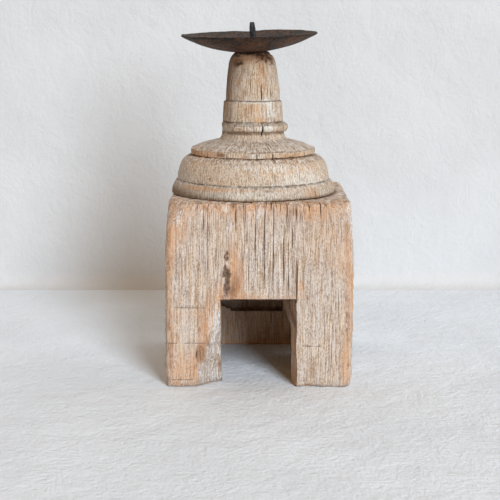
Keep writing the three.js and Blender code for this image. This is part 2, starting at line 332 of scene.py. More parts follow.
def ring_mesh(name, points, tones=None, marks=None, joined=False):
    """An object made of rings of points in millimetres, closed at both ends, with its tones painted on"""
    rows, columns = points.shape[:2]
    vertices = points.reshape(-1, 3)
    faces = ring_faces(rows, columns, joined).tolist()
    if not joined:
        vertices = np.concatenate([vertices, [points[0].mean(axis=0), points[-1].mean(axis=0)]])
        faces += end_faces(rows, columns).tolist()
    mesh = bpy.data.meshes.new(name)
    mesh.from_pydata(vertices * MM, [], faces)
    for label, values in (("tones", tones), ("marks", marks)):
        if values is None:
            continue
        flat = np.concatenate([values.reshape(-1, 4), values[0, :1], values[-1, :1]])
        layer = mesh.attributes.new(label, "FLOAT_COLOR", "POINT")
        layer.data.foreach_set("color", flat[: len(vertices)].astype(np.float32).ravel())
    mesh.update()
    thing = bpy.data.objects.new(name, mesh)
    bpy.context.scene.collection.objects.link(thing)
    return thing


CURVE_SAMPLES = 40


def curve_points(controls, step):
    """Points along a line or a curve with two, three or four control points, without its last point"""
    controls = np.array(controls, float)
    shares = np.linspace(0, 1, CURVE_SAMPLES)[:, None, None]
    points = controls[None, :, :].repeat(CURVE_SAMPLES, axis=0)
    while points.shape[1] > 1:
        points = points[:, :-1] * (1 - shares) + points[:, 1:] * shares
    points = points[:, 0]
    run = np.concatenate([[0], np.cumsum(np.linalg.norm(np.diff(points, axis=0), axis=1))])
    count = max(1, math.ceil(run[-1] / step))
    places = np.linspace(0, run[-1], count + 1)[:-1]
    return np.stack([np.interp(places, run, points[:, axis]) for axis in (0, 1)], axis=-1)


def path_points(start, pieces):
    """Points along lines and curves in a row. Each piece has its step and its further control points"""
    points = []
    at = start
    for step, *controls in pieces:
        points.append(curve_points([at, *controls], step))
        at = controls[-1]
    points.append(np.array([at], float))
    return np.concatenate(points)


# Checks: the cracks that run along the grain

CHECK_STATIONS = (-1.5, -1, -0.5, 0, 0.5, 1, 1.5)
CHECK_REACH = 1.6
LEAST_COLUMN = 0.09

# How far apart the checks lie in the noise that varies them, so that no two are alike
CHECK_SPREAD = 7.3

# A check is painted dark, as shade in the crack, from this depth on
DARK_DEPTH = 0.6


def spaced_columns(low, high, step, checks):
    """Places from low up to high, a step apart, and closer at each check"""
    fine = np.array([place + half * share for place, _, _, half, _ in checks for share in CHECK_STATIONS])
    fine = np.sort(fine[(fine > low) & (fine < high)])
    base = np.linspace(low, high, math.ceil((high - low) / step) + 1)[:-1]
    if len(fine):
        nearest = np.abs(base[:, None] - fine[None, :]).min(axis=1)
        base = base[(nearest > 0.35 * step) | (base == low)]
    places = np.sort(np.concatenate([base, fine]))
    kept = np.concatenate([[True], np.diff(places) > LEAST_COLUMN])
    return places[kept]


def check_depths(places, heights, checks, seed):
    """How deep each point lies in a check, in millimetres, for columns at places and rows at heights"""
    depths = np.zeros((len(heights), len(places)))
    for number, (place, low, high, half, depth) in enumerate(checks):
        near = np.abs(places - place) < CHECK_REACH * half
        if not near.any():
            continue
        taper = np.clip(0.3 * (high - low), 2.5, 9)
        inside = np.clip(np.minimum(heights - low, high - heights) / taper, 0, 1)
        level = np.zeros(len(heights))
        row_points = np.stack([level + number * CHECK_SPREAD, level, heights], axis=-1)
        width = half * (0.3 + 0.7 * np.sqrt(inside)) * (1 + 0.4 * noise(row_points, 4, seed))
        across = 1 - np.abs(places[near][None, :] - place) / width[:, None]
        broken = 0.45 + 0.55 * smooth(noise(row_points, 6, seed + 1), -0.5, 0.1)
        cut = depth * (broken * np.sqrt(inside))[:, None] * np.clip(across, 0, 1) ** 0.75
        depths[:, near] = np.maximum(depths[:, near], cut)
    return depths


def scattered_checks(random, count, low, high, bottom, top):
    """Checks at random places along a face, more of them high up"""
    checks = []
    for _ in range(count):
        place = random.uniform(low, high)
        run = random.uniform(8, 42)
        end = top - abs(random.normal(0, 0.33)) * (top - bottom)
        checks.append((place, end - run, end, random.uniform(0.16, 0.3), random.uniform(0.5, 1.1)))
    return checks


def turned_away(angles, centre):
    """How far each angle is from a centre, the short way round"""
    return (angles - centre + 180) % 360 - 180


def patch(places, heights, spots, away=np.subtract):
    """Soft-edged spots of paint, each as (place, height, half width, half height, strength)"""
    total = np.zeros(np.broadcast(places, heights).shape)
    for place, height, wide, high, strength in spots:
        distance = (away(places, place) / wide) ** 2 + ((heights - height) / high) ** 2
        total += strength * np.exp(-distance)
    return total


def post_patch(angles, heights, spots):
    """The same round the post, with angles in degrees for places"""
    return patch(angles, heights, spots, turned_away)


# The block

# On the front: place across, from, to, half width and depth
FRONT_CHECKS = [
    (-41.1, 92, 100, 0.24, 0.7), (-34.7, 97, 113.5, 0.3, 1.1), (-31.9, 50, 109, 0.24, 0.6),
    (-14.5, 97, 117, 0.3, 1.4), (-14.5, 89, 92, 0.35, 1.2), (-8.6, 101, 116.5, 0.25, 1),
    (-4.6, 99, 108, 0.2, 0.7), (-1.9, 78, 117, 0.28, 1.2), (3.7, 60, 117.5, 0.29, 1.4),
    (6.2, 62, 99, 0.22, 0.8), (9.3, 62, 117.5, 0.3, 1.4), (12.7, 62, 98, 0.22, 0.8),
    (15.7, 65, 102, 0.31, 1.5), (17.5, 103, 117.5, 0.4, 2), (21.3, 86, 101, 0.26, 1),
    (23.8, 53, 81, 0.36, 2), (-10.5, 66, 97, 0.2, 0.6), (-6.2, 60, 90, 0.2, 0.7),
    (0.9, 60, 88, 0.2, 0.7), (18.6, 58, 94, 0.22, 0.8), (27.2, 98, 110, 0.2, 0.7),
    (30.6, 84, 97, 0.3, 1.3), (27.6, 62, 90, 0.2, 0.6), (35.2, 70, 96, 0.18, 0.5),
    (31.8, 110, 117.5, 0.36, 1.5), (-38.4, 17.5, 23.5, 0.42, 1.1), (32.5, 7, 26, 0.22, 0.7),
    (38.4, 106, 117.5, 0.32, 1.3), (44.6, 10, 40, 0.2, 0.6), (48.2, 40, 66, 0.2, 0.6),
    (-47.5, 60, 88, 0.2, 0.6), (-26.4, 72, 98, 0.2, 0.6), (23.4, 76, 101, 0.17, 0.5),
    (23.7, 104, 117.5, 0.32, 1.3),
]
FILLED_GROOVE = (-20, 55, 86, 2.8, 1.7)

# Lines scribed across the front: height, from, to
SCRIBED_LINES = [(50.6, -53, -32.5), (28.2, -58, -32.5), (5.0, -54, -38.5), (26.3, 27, 38.5)]
SCRIBED_HALF = 0.35
SCRIBED_DEPTH = 0.25

# The split on the left leg's inner edge: height, and where it starts on the front
SPLIT_EDGE = [
    (0, -39.3), (6, -38.9), (10.4, -38.2), (13.7, -36.9), (16, -35.7), (19, -34), (26, -33.4),
    (28.6, -31.3), (37, -29.1), (47.5, -25.6), (52, -23.2),
]

# Near its upright edges the block has closer columns
CORNER_STEP = 0.55
CORNER_WIDTH = 7

# Half widths of the rings on the underside, and of those on the ledge that the post hides
UNDERSIDE_RINGS = (2, 14, 27, 36, 43, 48, 51)
HIDDEN_FROM = 33
HIDDEN_RINGS = (26, 14, 2)

# Rings in the rounding of the lower edges, and in that of the upper ones
EDGE_RINGS = 7

# Each side's outward direction and the direction of its places, from the front to the right
SIDES = ((0, -1, 1, 0), (1, 0, 0, 1), (0, 1, -1, 0), (-1, 0, 0, -1))


def block_columns(checks):
    """The side of each column of the block, and its place along that side"""
    sides = []
    places = []
    for side, side_checks in enumerate(checks):
        step = COLUMN_STEP if side == 0 else SIDE_COLUMN_STEP
        edge = HALF - CORNER_WIDTH
        run = np.concatenate([
            spaced_columns(-HALF, -edge, CORNER_STEP * COARSE, []),
            spaced_columns(-edge, edge, step, side_checks),
            spaced_columns(edge, HALF, CORNER_STEP * COARSE, []),
        ])
        sides.append(np.full(len(run), side))
        places.append(run)
    return np.concatenate(sides), np.concatenate(places)


def block_rows(size):
    """The block's section from the middle of its underside to the middle of its top: half width, height and
    a running height, which goes on over the edges"""
    foot = HALF - 0.1

    def half(height):
        share = max(0, (height - size.belly) / (size.height - size.belly))
        return foot - size.lean * share**2

    rows = [(inner, 0, inner - foot) for inner in UNDERSIDE_RINGS]
    turns = np.linspace(0, math.pi / 2, EDGE_RINGS)
    for turn in turns[:-1]:
        height = size.foot_rise * (1 - math.cos(turn))
        rows.append((foot - size.foot_inset * (1 - math.sin(turn)), height, height))
    shifts = (-SCRIBED_HALF, 0, SCRIBED_HALF)
    scribed = [height + shift for height, _, _ in SCRIBED_LINES for shift in shifts]
    side_top = size.height - size.edge_drop
    count = math.ceil((side_top - size.foot_rise) / ROW_STEP)
    heights = np.linspace(size.foot_rise, side_top, count)
    nearest = np.abs(heights[:, None] - np.array(scribed)[None, :]).min(axis=1)
    scribed = [height for height in scribed if height > size.foot_rise]
    heights = np.sort(np.concatenate([heights[nearest > 0.4], scribed]))
    rows += [(half(height), height, height) for height in heights]
    edge = half(side_top)
    for turn in turns[1:]:
        height = side_top + size.edge_drop * math.sin(turn)
        rows.append((edge - size.edge_inset * (1 - math.cos(turn)), height, height))
    ledge = rows[-1][0]
    shown = ledge - np.arange(0.9, ledge - HIDDEN_FROM, 1.1 * COARSE)
    rows += [(inner, size.height, size.height + ledge - inner) for inner in (*shown, *HIDDEN_RINGS)]
    return np.array(rows)


def block_surface(size, sides, places, rows):
    """The block's plain surface, and the running height and place of each point"""
    half = rows[:, 0][:, None]
    height = np.broadcast_to(rows[:, 1][:, None], (len(rows), len(places)))
    running = np.broadcast_to(rows[:, 2][:, None], height.shape)
    normal = np.array(SIDES)[sides][:, :2]
    tangent = np.array(SIDES)[sides][:, 2:]

    square = HALF * normal + places[:, None] * tangent
    square = np.broadcast_to(square, (len(rows), *square.shape))
    points = np.concatenate([square, height[..., None]], axis=-1)
    wander = 0.75 * noise(points, (16, 16, 38), 11) + 0.3 * noise(points, (6, 6, 15), 12)
    wander = wander + 0.13 * noise(points, (3, 3, 5), 13)
    along = np.clip(places[None, :] + wander, -HALF, HALF)
    along = np.where(np.abs(places[None, :]) == HALF, places[None, :], along)

    worn = smooth(height, size.height - size.wear_drop, size.height) ** 1.5
    wears = np.array([size.left_wear, size.right_wear, size.back_wear, size.back_wear])
    corner = (sides[None, :] + (along > 0)) % 4
    radius = size.corner + wears[corner] * worn
    radius = np.minimum(radius, 0.92 * half) * np.minimum(1, half / 50)
    turn = np.arctan2(along, HALF)
    straight = half / np.cos(turn)
    core = half - radius
    spread = np.cos(turn) + np.abs(np.sin(turn))
    rounded = core * spread + np.sqrt(np.maximum((core * spread) ** 2 - 2 * core**2 + radius**2, 0))
    on_corner = np.abs(half * np.tan(turn)) > core
    reach = np.where(on_corner, rounded, straight)
    flat = reach[..., None] * (np.cos(turn)[..., None] * normal + np.sin(turn)[..., None] * tangent)
    return np.concatenate([flat, height[..., None]], axis=-1), running


def split_depth(hollow, points, front):
    """How far the split surface of the left leg lies behind the front"""
    heights, starts = zip(*SPLIT_EDGE)
    start = np.interp(points[..., 2], heights, starts) + 0.5 * noise(points, (9, 9, 7), 21)
    slope = hollow.split_depth / (-SPLIT_EDGE[0][1] - hollow.arch_half)
    raw = (points[..., 0] - start) * slope
    fibres = 0.6 * noise(points, (1.5, 1.5, 12), 22) + 0.45 * noise(points, (4, 4, 24), 23)
    below = points[..., 2] < SPLIT_EDGE[-1][0]
    beside = points[..., 0] < 0
    return np.where(front & below & beside & (raw > 0), raw + fibres * smooth(raw, 0.2, 2), 0)


def block_checks():
    random = np.random.default_rng(7)
    edge = HALF - 9
    others = [scattered_checks(random, 34, -edge, edge, 8, 118) for _ in range(3)]
    faint = scattered_checks(random, 24, -edge, edge, 4, 116)
    faint += scattered_checks(random, 12, -16, 34, 60, 117)
    faint += [(place, 118 - random.uniform(4, 11), 118.2, 0.36, 2) for place in random.uniform(-46, 46, 20)]
    faint = [(place, low, high, 0.72 * half, 0.45 * depth) for place, low, high, half, depth in faint]
    return [FRONT_CHECKS + faint, *others]


def scribed_lines(places, running, points, front):
    """How strongly each point lies in a scribed line"""
    scribed = np.zeros(running.shape)
    for height, start, end in SCRIBED_LINES:
        line = np.clip(1 - np.abs(running - height) / (2 * SCRIBED_HALF), 0, 1)
        line = line * smooth(noise(points, (2.6, 2.6, 30), 37), -1.0, -0.25)
        within = smooth(places, start - 1, start + 1) * (1 - smooth(places, end - 1, end + 1))
        scribed = np.maximum(scribed, line * within[None, :] * front)
    return scribed


def block_relief(places, levels, running, points, upright, front):
    """How far the weathered surface stands out at each point, and how far its edges are chipped"""
    hewn = 0.55 * noise(points, (30, 30, 46), 41) + 0.3 * noise(points, (11, 11, 26), 42)
    eaten = smooth(patch(places[None, :], running, [(4, 100, 34, 26, 1)]) * front, 0.2, 0.9)
    grain = noise(points, (1.5, 1.5, 34), 43) * (0.07 + 0.06 * eaten)
    grain = grain + 0.08 * noise(points, (3.4, 3.4, 40), 44)
    edge_near = smooth(levels, 105, 114)[:, None] * (1 - smooth(levels, 117, 122)[:, None])
    edge_near = edge_near + (1 - smooth(levels, 2, 9)[:, None]) * smooth(levels, -6, -1)[:, None]
    chips = noise(points, (5, 5, 4), 45) + 0.4 * noise(points, (2.2, 2.2, 3), 46) - 0.35
    chipped = np.clip(chips, 0, 1) * 2.2 * edge_near
    corner_near = smooth(np.abs(places), HALF - 9, HALF - 4)[None, :]
    frayed = layers(points, (1.9, 1.9, 3), 47, 2) * (0.08 + 0.55 * corner_near + 0.4 * edge_near)
    bitten = 1.8 * np.clip(noise(points, (3.2, 3.2, 5), 48) - 0.45, 0, 1) * corner_near
    return hewn + grain * upright - chipped + frayed - bitten, chipped


def weathered_block(block, hollow):
    """The block's outside with its wear"""
    checks = block_checks()
    sides, places = block_columns(checks)
    rows = block_rows(block)
    levels = rows[:, 2]
    points, running = block_surface(block, sides, places, rows)
    normals = outward(points)
    front = np.broadcast_to(sides[None, :] == 0, running.shape)
    upright = smooth(np.abs(normals[..., 2]), 0.9, 0.4)

    depth = np.zeros(running.shape)
    for side, side_checks in enumerate(checks):
        here = sides == side
        depth[:, here] = check_depths(places[here], levels, side_checks, 31 + side)
    lumps = smooth(noise(points, (1.9, 1.9, 2.3), 38), 0.1, 0.4)
    groove = check_depths(places, levels, [FILLED_GROOVE], 39) * (sides == 0) * (1 - 0.85 * lumps)
    scribed = scribed_lines(places, running, points, front)
    split = split_depth(hollow, points, front)

    lift, chipped = block_relief(places, levels, running, points, upright, front)
    moved = points + normals * (lift - depth - groove - scribed * SCRIBED_DEPTH)[..., None]
    moved[..., 1] += split
    moved[..., 0] += block.right_swell * smooth(points[..., 0], 26, 54) * smooth(points[..., 2], 4, 42)
    moved[..., 2] = np.maximum(moved[..., 2], 0)
    underside = rows[:, 1] == 0
    moved[underside, :, 2] = 0

    tones, marks = block_paint(places, running, points, sides, upright)
    # Painted shade in the checks and scribed lines, darker the deeper they are
    marks[..., CHECK] = np.maximum(np.clip(depth / DARK_DEPTH, 0, 1), scribed * 0.8)
    marks[..., SPLIT] = smooth(split, 0.05, 0.8)
    marks[..., GROOVE] = smooth(groove, 0.1, 0.6)
    worn_rim = front * hump(split - 1.1, 0.4) * smooth(noise(points, (2.2, 2.2, 3), 49), -0.3, 0.4)
    tones[..., LIME] = np.clip(tones[..., LIME] + 0.7 * worn_rim, 0, 1)
    beside = np.max([np.roll(depth, shift, axis=1) for shift in (-2, -1, 1, 2)], axis=0)
    rubbed = front * hump(split - 0.3, 0.5) * smooth(split, 0.01, 0.1)
    tones[..., WARM] = np.clip(tones[..., WARM] + chipped * 0.6 + 0.3 * beside + 0.9 * rubbed, 0, 1)
    return ring_mesh("timber_stand", moved, tones, marks)


# Paint on the front: place across, height, half width, half height and strength
WARM_SPOTS = [
    (-56, 85, 3.5, 26, 1.0), (-55, 35, 4, 22, 0.7), (-31, 44, 5, 15, 0.85), (-47, 12, 10, 13, 0.7),
    (-13, 66, 4.5, 13, 1.0), (-16, 80, 4, 14, 0.7), (56, 60, 3.5, 45, 0.65), (54, 14, 4, 12, 0.9),
    (-6, 110, 44, 5, 0.5), (36, 110, 12, 6, 0.3), (26.5, 64, 2.4, 4, 0.9), (-43, 47, 8, 4, 0.4),
    (-50, 98, 7, 12, 0.6), (20, 57, 16, 2, 0.5), (-10, 57, 12, 2.5, 0.8), (33, 108, 4, 4, 0.5),
    (-24, 60, 3, 8, 0.7), (-35.5, 34, 3, 8, 0.7), (-41, 14, 3, 8, 0.6), (-33.5, 30, 1.6, 9, 0.6),
    (-38, 8, 5, 8, 0.3), (48, 78, 6, 10, 0.3), (45, 94, 12, 22, 0.3), (54, 60, 4, 40, 0.2),
    (-6, 100, 60, 16, 0.15), (-40, 70, 14, 30, 0.12), (44, 36, 5, 16, 0.3),
]
GREY_SPOTS = [
    (8, 80, 22, 20, 0.35), (-36, 72, 12, 26, 0.15), (40, 60, 12, 22, 0.15), (38, 30, 14, 22, 0.25),
    (-44, 38, 8, 8, 0.3), (-52, 110, 4, 5, 0.7), (2, 108, 5, 4, 0.5),
]
LIME_SPOTS = [
    (-51, 107, 3.5, 5, 0.5), (-21.5, 111.5, 2.6, 3, 0.6), (0, 109, 7, 5, 0.45), (-46, 88, 6, 14, 0.25),
    (6, 78, 22, 22, 0.33), (47, 100, 4, 5, 0.25), (-44, 20, 5, 8, 0.3), (-40, 62, 9, 12, 0.25),
    (-35, 110, 2, 2.5, 0.5), (-18, 100, 2, 4, 0.3), (-26, 40, 5, 13, 0.5),
]
BROWN_SPOTS = [
    (-36, 22, 3.4, 6.5, 1.0), (-14, 66, 4, 11, 0.55), (-17, 60, 3, 6, 0.4), (-20, 84, 2, 3, 0.5),
    (-16.5, 114, 3, 2.2, 0.7), (22.5, 110, 3.5, 3.5, 0.5), (-31, 30, 2.2, 4, 0.5),
    (-40, 100, 1.5, 3, 0.3), (53, 96, 2.5, 7, 0.25), (53, 102, 2.5, 3, 0.3), (54.5, 68, 3, 40, 0.25),
    (-24.2, 12, 0.8, 6, 0.8),
]


def block_paint(places, running, points, sides, upright):
    """The block's tones, which are warm, grey, lime and painted shade with some dirt, and its marks, with
    the brown stain alone
    """
    tones = np.zeros((*running.shape, 4))
    marks = np.zeros((*running.shape, 4))
    front = (sides == 0)[None, :]
    across = places[None, :]
    cloud = noise(points, (15, 15, 30), 51)
    corner = smooth(np.abs(across), HALF - 7, HALF - 1)
    elsewhere = ~front
    warm = patch(across, running, WARM_SPOTS) * front
    warm = warm + elsewhere * (0.4 * corner + 0.6 * smooth(cloud, 0.1, 0.7))
    warm = warm + 0.35 * smooth(running, 108, 116) * (1 - smooth(running, 118, 124))
    grey = patch(across, running, GREY_SPOTS) * front + elsewhere * 0.35 * smooth(cloud, 0.1, -0.6)
    limed = smooth(noise(points, (20, 20, 26), 52), 0.1, 0.7)
    lime = patch(across, running, LIME_SPOTS) * front + elsewhere * 0.45 * limed
    ledge = smooth(running, 116.5, 120)
    tones[..., WARM] = np.clip(warm + 0.25 * ledge, 0, 1)
    tones[..., GREY] = np.clip(grey + 0.3 * ledge, 0, 1)
    tones[..., LIME] = np.clip(lime * upright, 0, 1)
    # Painted shade on the ledge round the post's foot and along the block's foot
    near_post = 1 - smooth(np.hypot(points[..., 0] - POST_AXIS_X, points[..., 1]), 52.5, 55.5)
    dirt = ledge * 0.9 * near_post
    dirt = dirt + 0.35 * (1 - smooth(running, 0, 4))
    tones[..., SHADE_AND_DIRT] = np.clip(dirt, 0, 1)
    marks[..., BROWN] = np.clip(patch(across, running, BROWN_SPOTS) * front, 0, 1)
    return tones, marks


# What is cut out of the block


def prism(name, plan, low, high, warm, dirt, seed, top_round=1.2, step=INNER_STEP, shift=None):
    """A body to cut with: an outline seen from above, from low to high, with hewn sides and a hewn top"""
    corners = np.array(plan, float)
    outline = []
    for start, end in zip(corners, np.roll(corners, -1, axis=0)):
        count = max(2, math.ceil(np.linalg.norm(end - start) / step))
        outline += [start + (end - start) * share for share in np.linspace(0, 1, count + 1)[:-1]]
    outline = np.array(outline)
    middle = corners.mean(axis=0)
    heights = np.linspace(low, high - top_round, max(3, math.ceil((high - low) / (1.4 * step))))
    rows = [(0.03, low), (0.5, low)] + [(1, height) for height in heights]
    rows += [(1 - 0.012 * rise, high - top_round * (1 - rise)) for rise in (0.6, 1)]
    rows += [(share, high) for share in (0.96, 0.9, 0.8, 0.66, 0.5, 0.32, 0.15, 0.03)]
    share, height = np.array(rows).T
    flat = middle + (outline - middle)[None, :, :] * share[:, None, None]
    tall = np.broadcast_to(height[:, None], flat.shape[:2])
    points = np.concatenate([flat, tall[..., None]], axis=-1)
    if shift:
        points = shift(points)
    normals = outward(points)
    upright = 1 - np.abs(normals[..., 2])
    hewn = 0.4 * noise(points, (9, 9, 12), seed) + 0.25 * noise(points, (4, 4, 7), seed + 1)
    grain = 0.16 * noise(points, (1.9, 1.9, 26), seed + 2)
    moved = points + normals * (hewn + grain * upright)[..., None]
    tones = np.zeros((*tall.shape, 4))
    marks = np.zeros((*tall.shape, 4))
    cloud = noise(points, (8, 8, 18), seed + 3)
    tones[..., WARM] = np.clip(warm + 0.3 * cloud, 0, 1)
    tones[..., LIME] = 0.4 * smooth(noise(points, (10, 10, 14), seed + 4), 0.25, 0.7)
    foot = 1 - smooth(points[..., 2], 1.2, 3.4)
    # Painted shade high up on the right of the hollows, under the arch's top
    shade_under_top = smooth(points[..., 2] + 3 * cloud, 32, 42) * smooth(points[..., 0], 5, 15)
    tones[..., WARM] = np.clip(tones[..., WARM] * (1 - 0.7 * shade_under_top) + 0.7 * foot, 0, 1)
    # The hollows' walls are painted darker, as shade with some dirt
    tones[..., SHADE_AND_DIRT] = np.clip(dirt + 0.2 * cloud + 0.9 * shade_under_top - 0.3 * foot, 0, 1)
    return ring_mesh(name, moved, tones, marks)


def box_plan(left, right, front, back):
    """The corners of a box seen from above"""
    return [(left, front), (right, front), (right, back), (left, back)]


# How far a cutter reaches past what it cuts
OVER = 5

# How far the right cheek comes in at the wall's back: height and depth of the haunch under the arch's top
HAUNCH = [(33, 0), (37, 0.6), (41, 2.2), (45, 4), (51, 5.6), (56, 6)]

# The recess's sill rises at its left end: place across and rise
SILL_RISE = [(-26, 4), (-23.8, 2.9), (-18.5, 0), (20, 0)]


def hollow_cutters(hollow):
    """The bodies that the block's hollows are cut with"""
    wall = -HALF + hollow.front_wall
    rear = HALF - hollow.rear_wall
    cheek = hollow.arch_half

    def haunched(points):
        inward = np.interp(points[..., 2], *zip(*HAUNCH))
        share = np.clip((points[..., 1] + HALF) / hollow.front_wall, 0, 1) * smooth(points[..., 0], 6, 19)
        moved = points.copy()
        moved[..., 0] -= inward * share
        return moved

    def ragged_sill(points):
        rise = np.interp(points[..., 0], *zip(*SILL_RISE))
        moved = points.copy()
        moved[..., 2] += rise * (1 - smooth(points[..., 2], hollow.recess_sill, hollow.recess_sill + 18))
        return moved

    arch = [
        (-cheek, -HALF - 2 * OVER), (cheek, -HALF - 2 * OVER), (cheek, -HALF),
        (cheek - hollow.arch_skew, wall), (cheek - hollow.arch_skew, wall + OVER), (-cheek, wall + OVER),
    ]
    cavity = box_plan(-hollow.cavity_half, hollow.cavity_half, wall, rear)
    left, right = -hollow.recess_half - 7, hollow.recess_half - 1.5
    recess = box_plan(left, right, rear - OVER, rear + hollow.recess_depth)
    mortise = box_plan(hollow.cavity_half - OVER, HALF + 2 * OVER, rear - hollow.mortise_width, rear)
    # After the warm tone comes each cutter's painted shade with some dirt: the cavity, recess and side
    # mortise are painted darker
    return [
        prism("arch", arch, -OVER, hollow.arch_height, 0.85, 0, 61, 0.5, 0.9 * COARSE, haunched),
        prism("cavity", cavity, -OVER, hollow.cavity_height, 0.5, 0.32, 71),
        prism("recess", recess, hollow.recess_sill, hollow.cavity_height, 0, 0.5, 81, shift=ragged_sill),
        prism("side_mortise", mortise, -OVER, hollow.mortise_height, 0.4, 0.45, 91),
    ]


def combine(thing, other, operation):
    """Cuts another body out of thing, or joins it on, and removes that body"""
    modifier = thing.modifiers.new("combine", "BOOLEAN")
    modifier.operation = operation
    modifier.solver = "MANIFOLD"
    modifier.object = other
    view = bpy.context.evaluated_depsgraph_get()
    solved = thing.evaluated_get(view)
    made = bpy.data.meshes.new_from_object(solved, preserve_all_data_layers=True, depsgraph=view)
    if len(made.polygons) == 0:
        raise RuntimeError(f"{other.name} could not be combined with {thing.name}")
    thing.modifiers.clear()
    old = thing.data
    thing.data = made
    bpy.data.meshes.remove(old)
    spent = other.data
    bpy.data.objects.remove(other)
    bpy.data.meshes.remove(spent)


# The turned post

# Angle in degrees, from, to, half width as an angle, and depth
POST_CHECKS = [
    (-66, 139, 144, 0.9, 1.2), (-45, 139.5, 144, 0.8, 1.0), (3.7, 139, 144, 0.8, 1.3),
    (17.5, 138, 144, 0.7, 1.1), (54, 137.5, 144, 0.8, 1.0), (30, 138, 143.5, 0.6, 0.7),
    (-24, 138.5, 143.5, 0.6, 0.7), (78, 138, 144, 0.8, 1.0), (124, 138, 144, 0.9, 1.1),
    (168, 137, 144, 1.0, 1.3), (-130, 137.5, 144, 0.8, 1.1), (-100, 138, 144, 0.7, 0.9),
    (19, 174, 185, 1.3, 1.4), (27, 186, 198, 0.7, 0.5), (-2, 199, 204, 1.2, 0.8),
    (-4, 176, 190, 0.9, 0.8), (42, 175, 186, 1.0, 0.9), (-28, 178, 196, 0.9, 0.7),
    (10, 174.5, 187, 0.7, 0.6), (-14, 175, 182, 0.7, 0.6), (34, 178, 190, 0.7, 0.6),
    (70, 175, 199, 1.3, 1.3), (110, 176, 200, 1.2, 1.2), (155, 174, 192, 1.4, 1.4),
    (-75, 176, 198, 1.1, 1.0), (-120, 175, 202, 1.4, 1.4), (-160, 178, 197, 1.1, 1.0),
    (-29, 168, 174, 0.8, 0.6), (-2, 161, 173, 0.7, 0.5), (35, 161, 170, 0.8, 0.7),
    (-48, 161, 172, 0.9, 0.8), (95, 161, 174, 1.0, 1.0), (140, 161, 173, 1.0, 1.0),
    (-110, 161, 174, 1.0, 1.0), (16.5, 152, 160.6, 1.6, 1.9), (2, 153.5, 160.4, 1.0, 1.1),
    (-10, 154, 160.4, 0.9, 0.8), (60, 153, 160.5, 1.3, 1.2), (118, 153, 160.5, 1.2, 1.3),
    (172, 152.5, 160.5, 1.4, 1.4), (20, 145.5, 150, 0.9, 0.8), (-52, 146, 149, 0.7, 0.8),
    (96, 145, 150, 0.8, 1.0), (-146, 145, 150, 0.9, 1.1), (-34, 126, 137, 0.35, 0.6),
    (14, 127, 136, 0.3, 0.5), (37, 125, 134, 0.4, 0.8), (-58, 125, 138, 0.45, 0.9),
    (80, 125, 137, 0.5, 1.0), (130, 124.5, 138, 0.5, 1.1), (-95, 125, 138, 0.5, 1.0),
    (-140, 124.5, 137, 0.5, 1.1), (-20, 115, 121, 0.35, 0.6), (48, 115, 122, 0.4, 0.7),
    (-62, 115, 123, 0.45, 0.9), (100, 115, 123, 0.5, 1.0), (150, 115, 122, 0.5, 1.0),
    (-120, 115, 123, 0.5, 1.0),
]
# Small pits and crevices: angle, height, half width in degrees, half height and depth
POST_PITS = [
    (-41, 197.8, 7, 0.8, 1.3), (-30, 196.9, 5, 0.6, 1.0), (20, 203.6, 8, 0.7, 1.2),
    (27, 201.4, 7, 0.7, 1.2), (36, 199.2, 6, 0.9, 1.2), (35, 203.4, 5, 1.2, 1.1),
    (46, 196.4, 5, 0.6, 1.0), (12, 198.8, 2, 0.8, 0.8), (-14, 204.6, 12, 0.6, 0.9),
    (52, 201, 6, 1.0, 1.0), (60, 197.5, 5, 0.6, 0.8), (-46, 203, 8, 0.6, 0.7),
    (160, 203.5, 5, 0.5, 0.8), (-118, 204, 4, 0.5, 0.7),
]

# Where the bead is broken off: from and to, as angles, and over how many degrees each end fades
BEAD_BREAK = (-128, -31)
BREAK_FADE = 2.2

# The angle of the post's side away from the light, which is painted darker as shade
SHADED_SIDE = -72

# The angle of the side where the crown is eaten most, and how deep
EATEN_SIDE = 32
EATEN_DEPTH = 3.2


def post_levels(size, ground):
    """The heights of the post's mouldings"""
    plinth = ground + size.plinth_height
    ovolo = plinth + size.groove + size.ovolo_height
    lip = ovolo + size.groove + size.lip_height
    disc = lip + size.disc_rise
    waist = disc + size.waist_rise
    bead = waist + size.bead_height
    band = bead + size.groove + size.band_height
    neck = band + size.neck_height
    return SimpleNamespace(
        ground=ground, plinth=plinth, ovolo=ovolo, lip=lip, disc=disc, waist=waist, bead=bead, band=band,
        neck=neck, crown=neck + size.crown_height,
    )


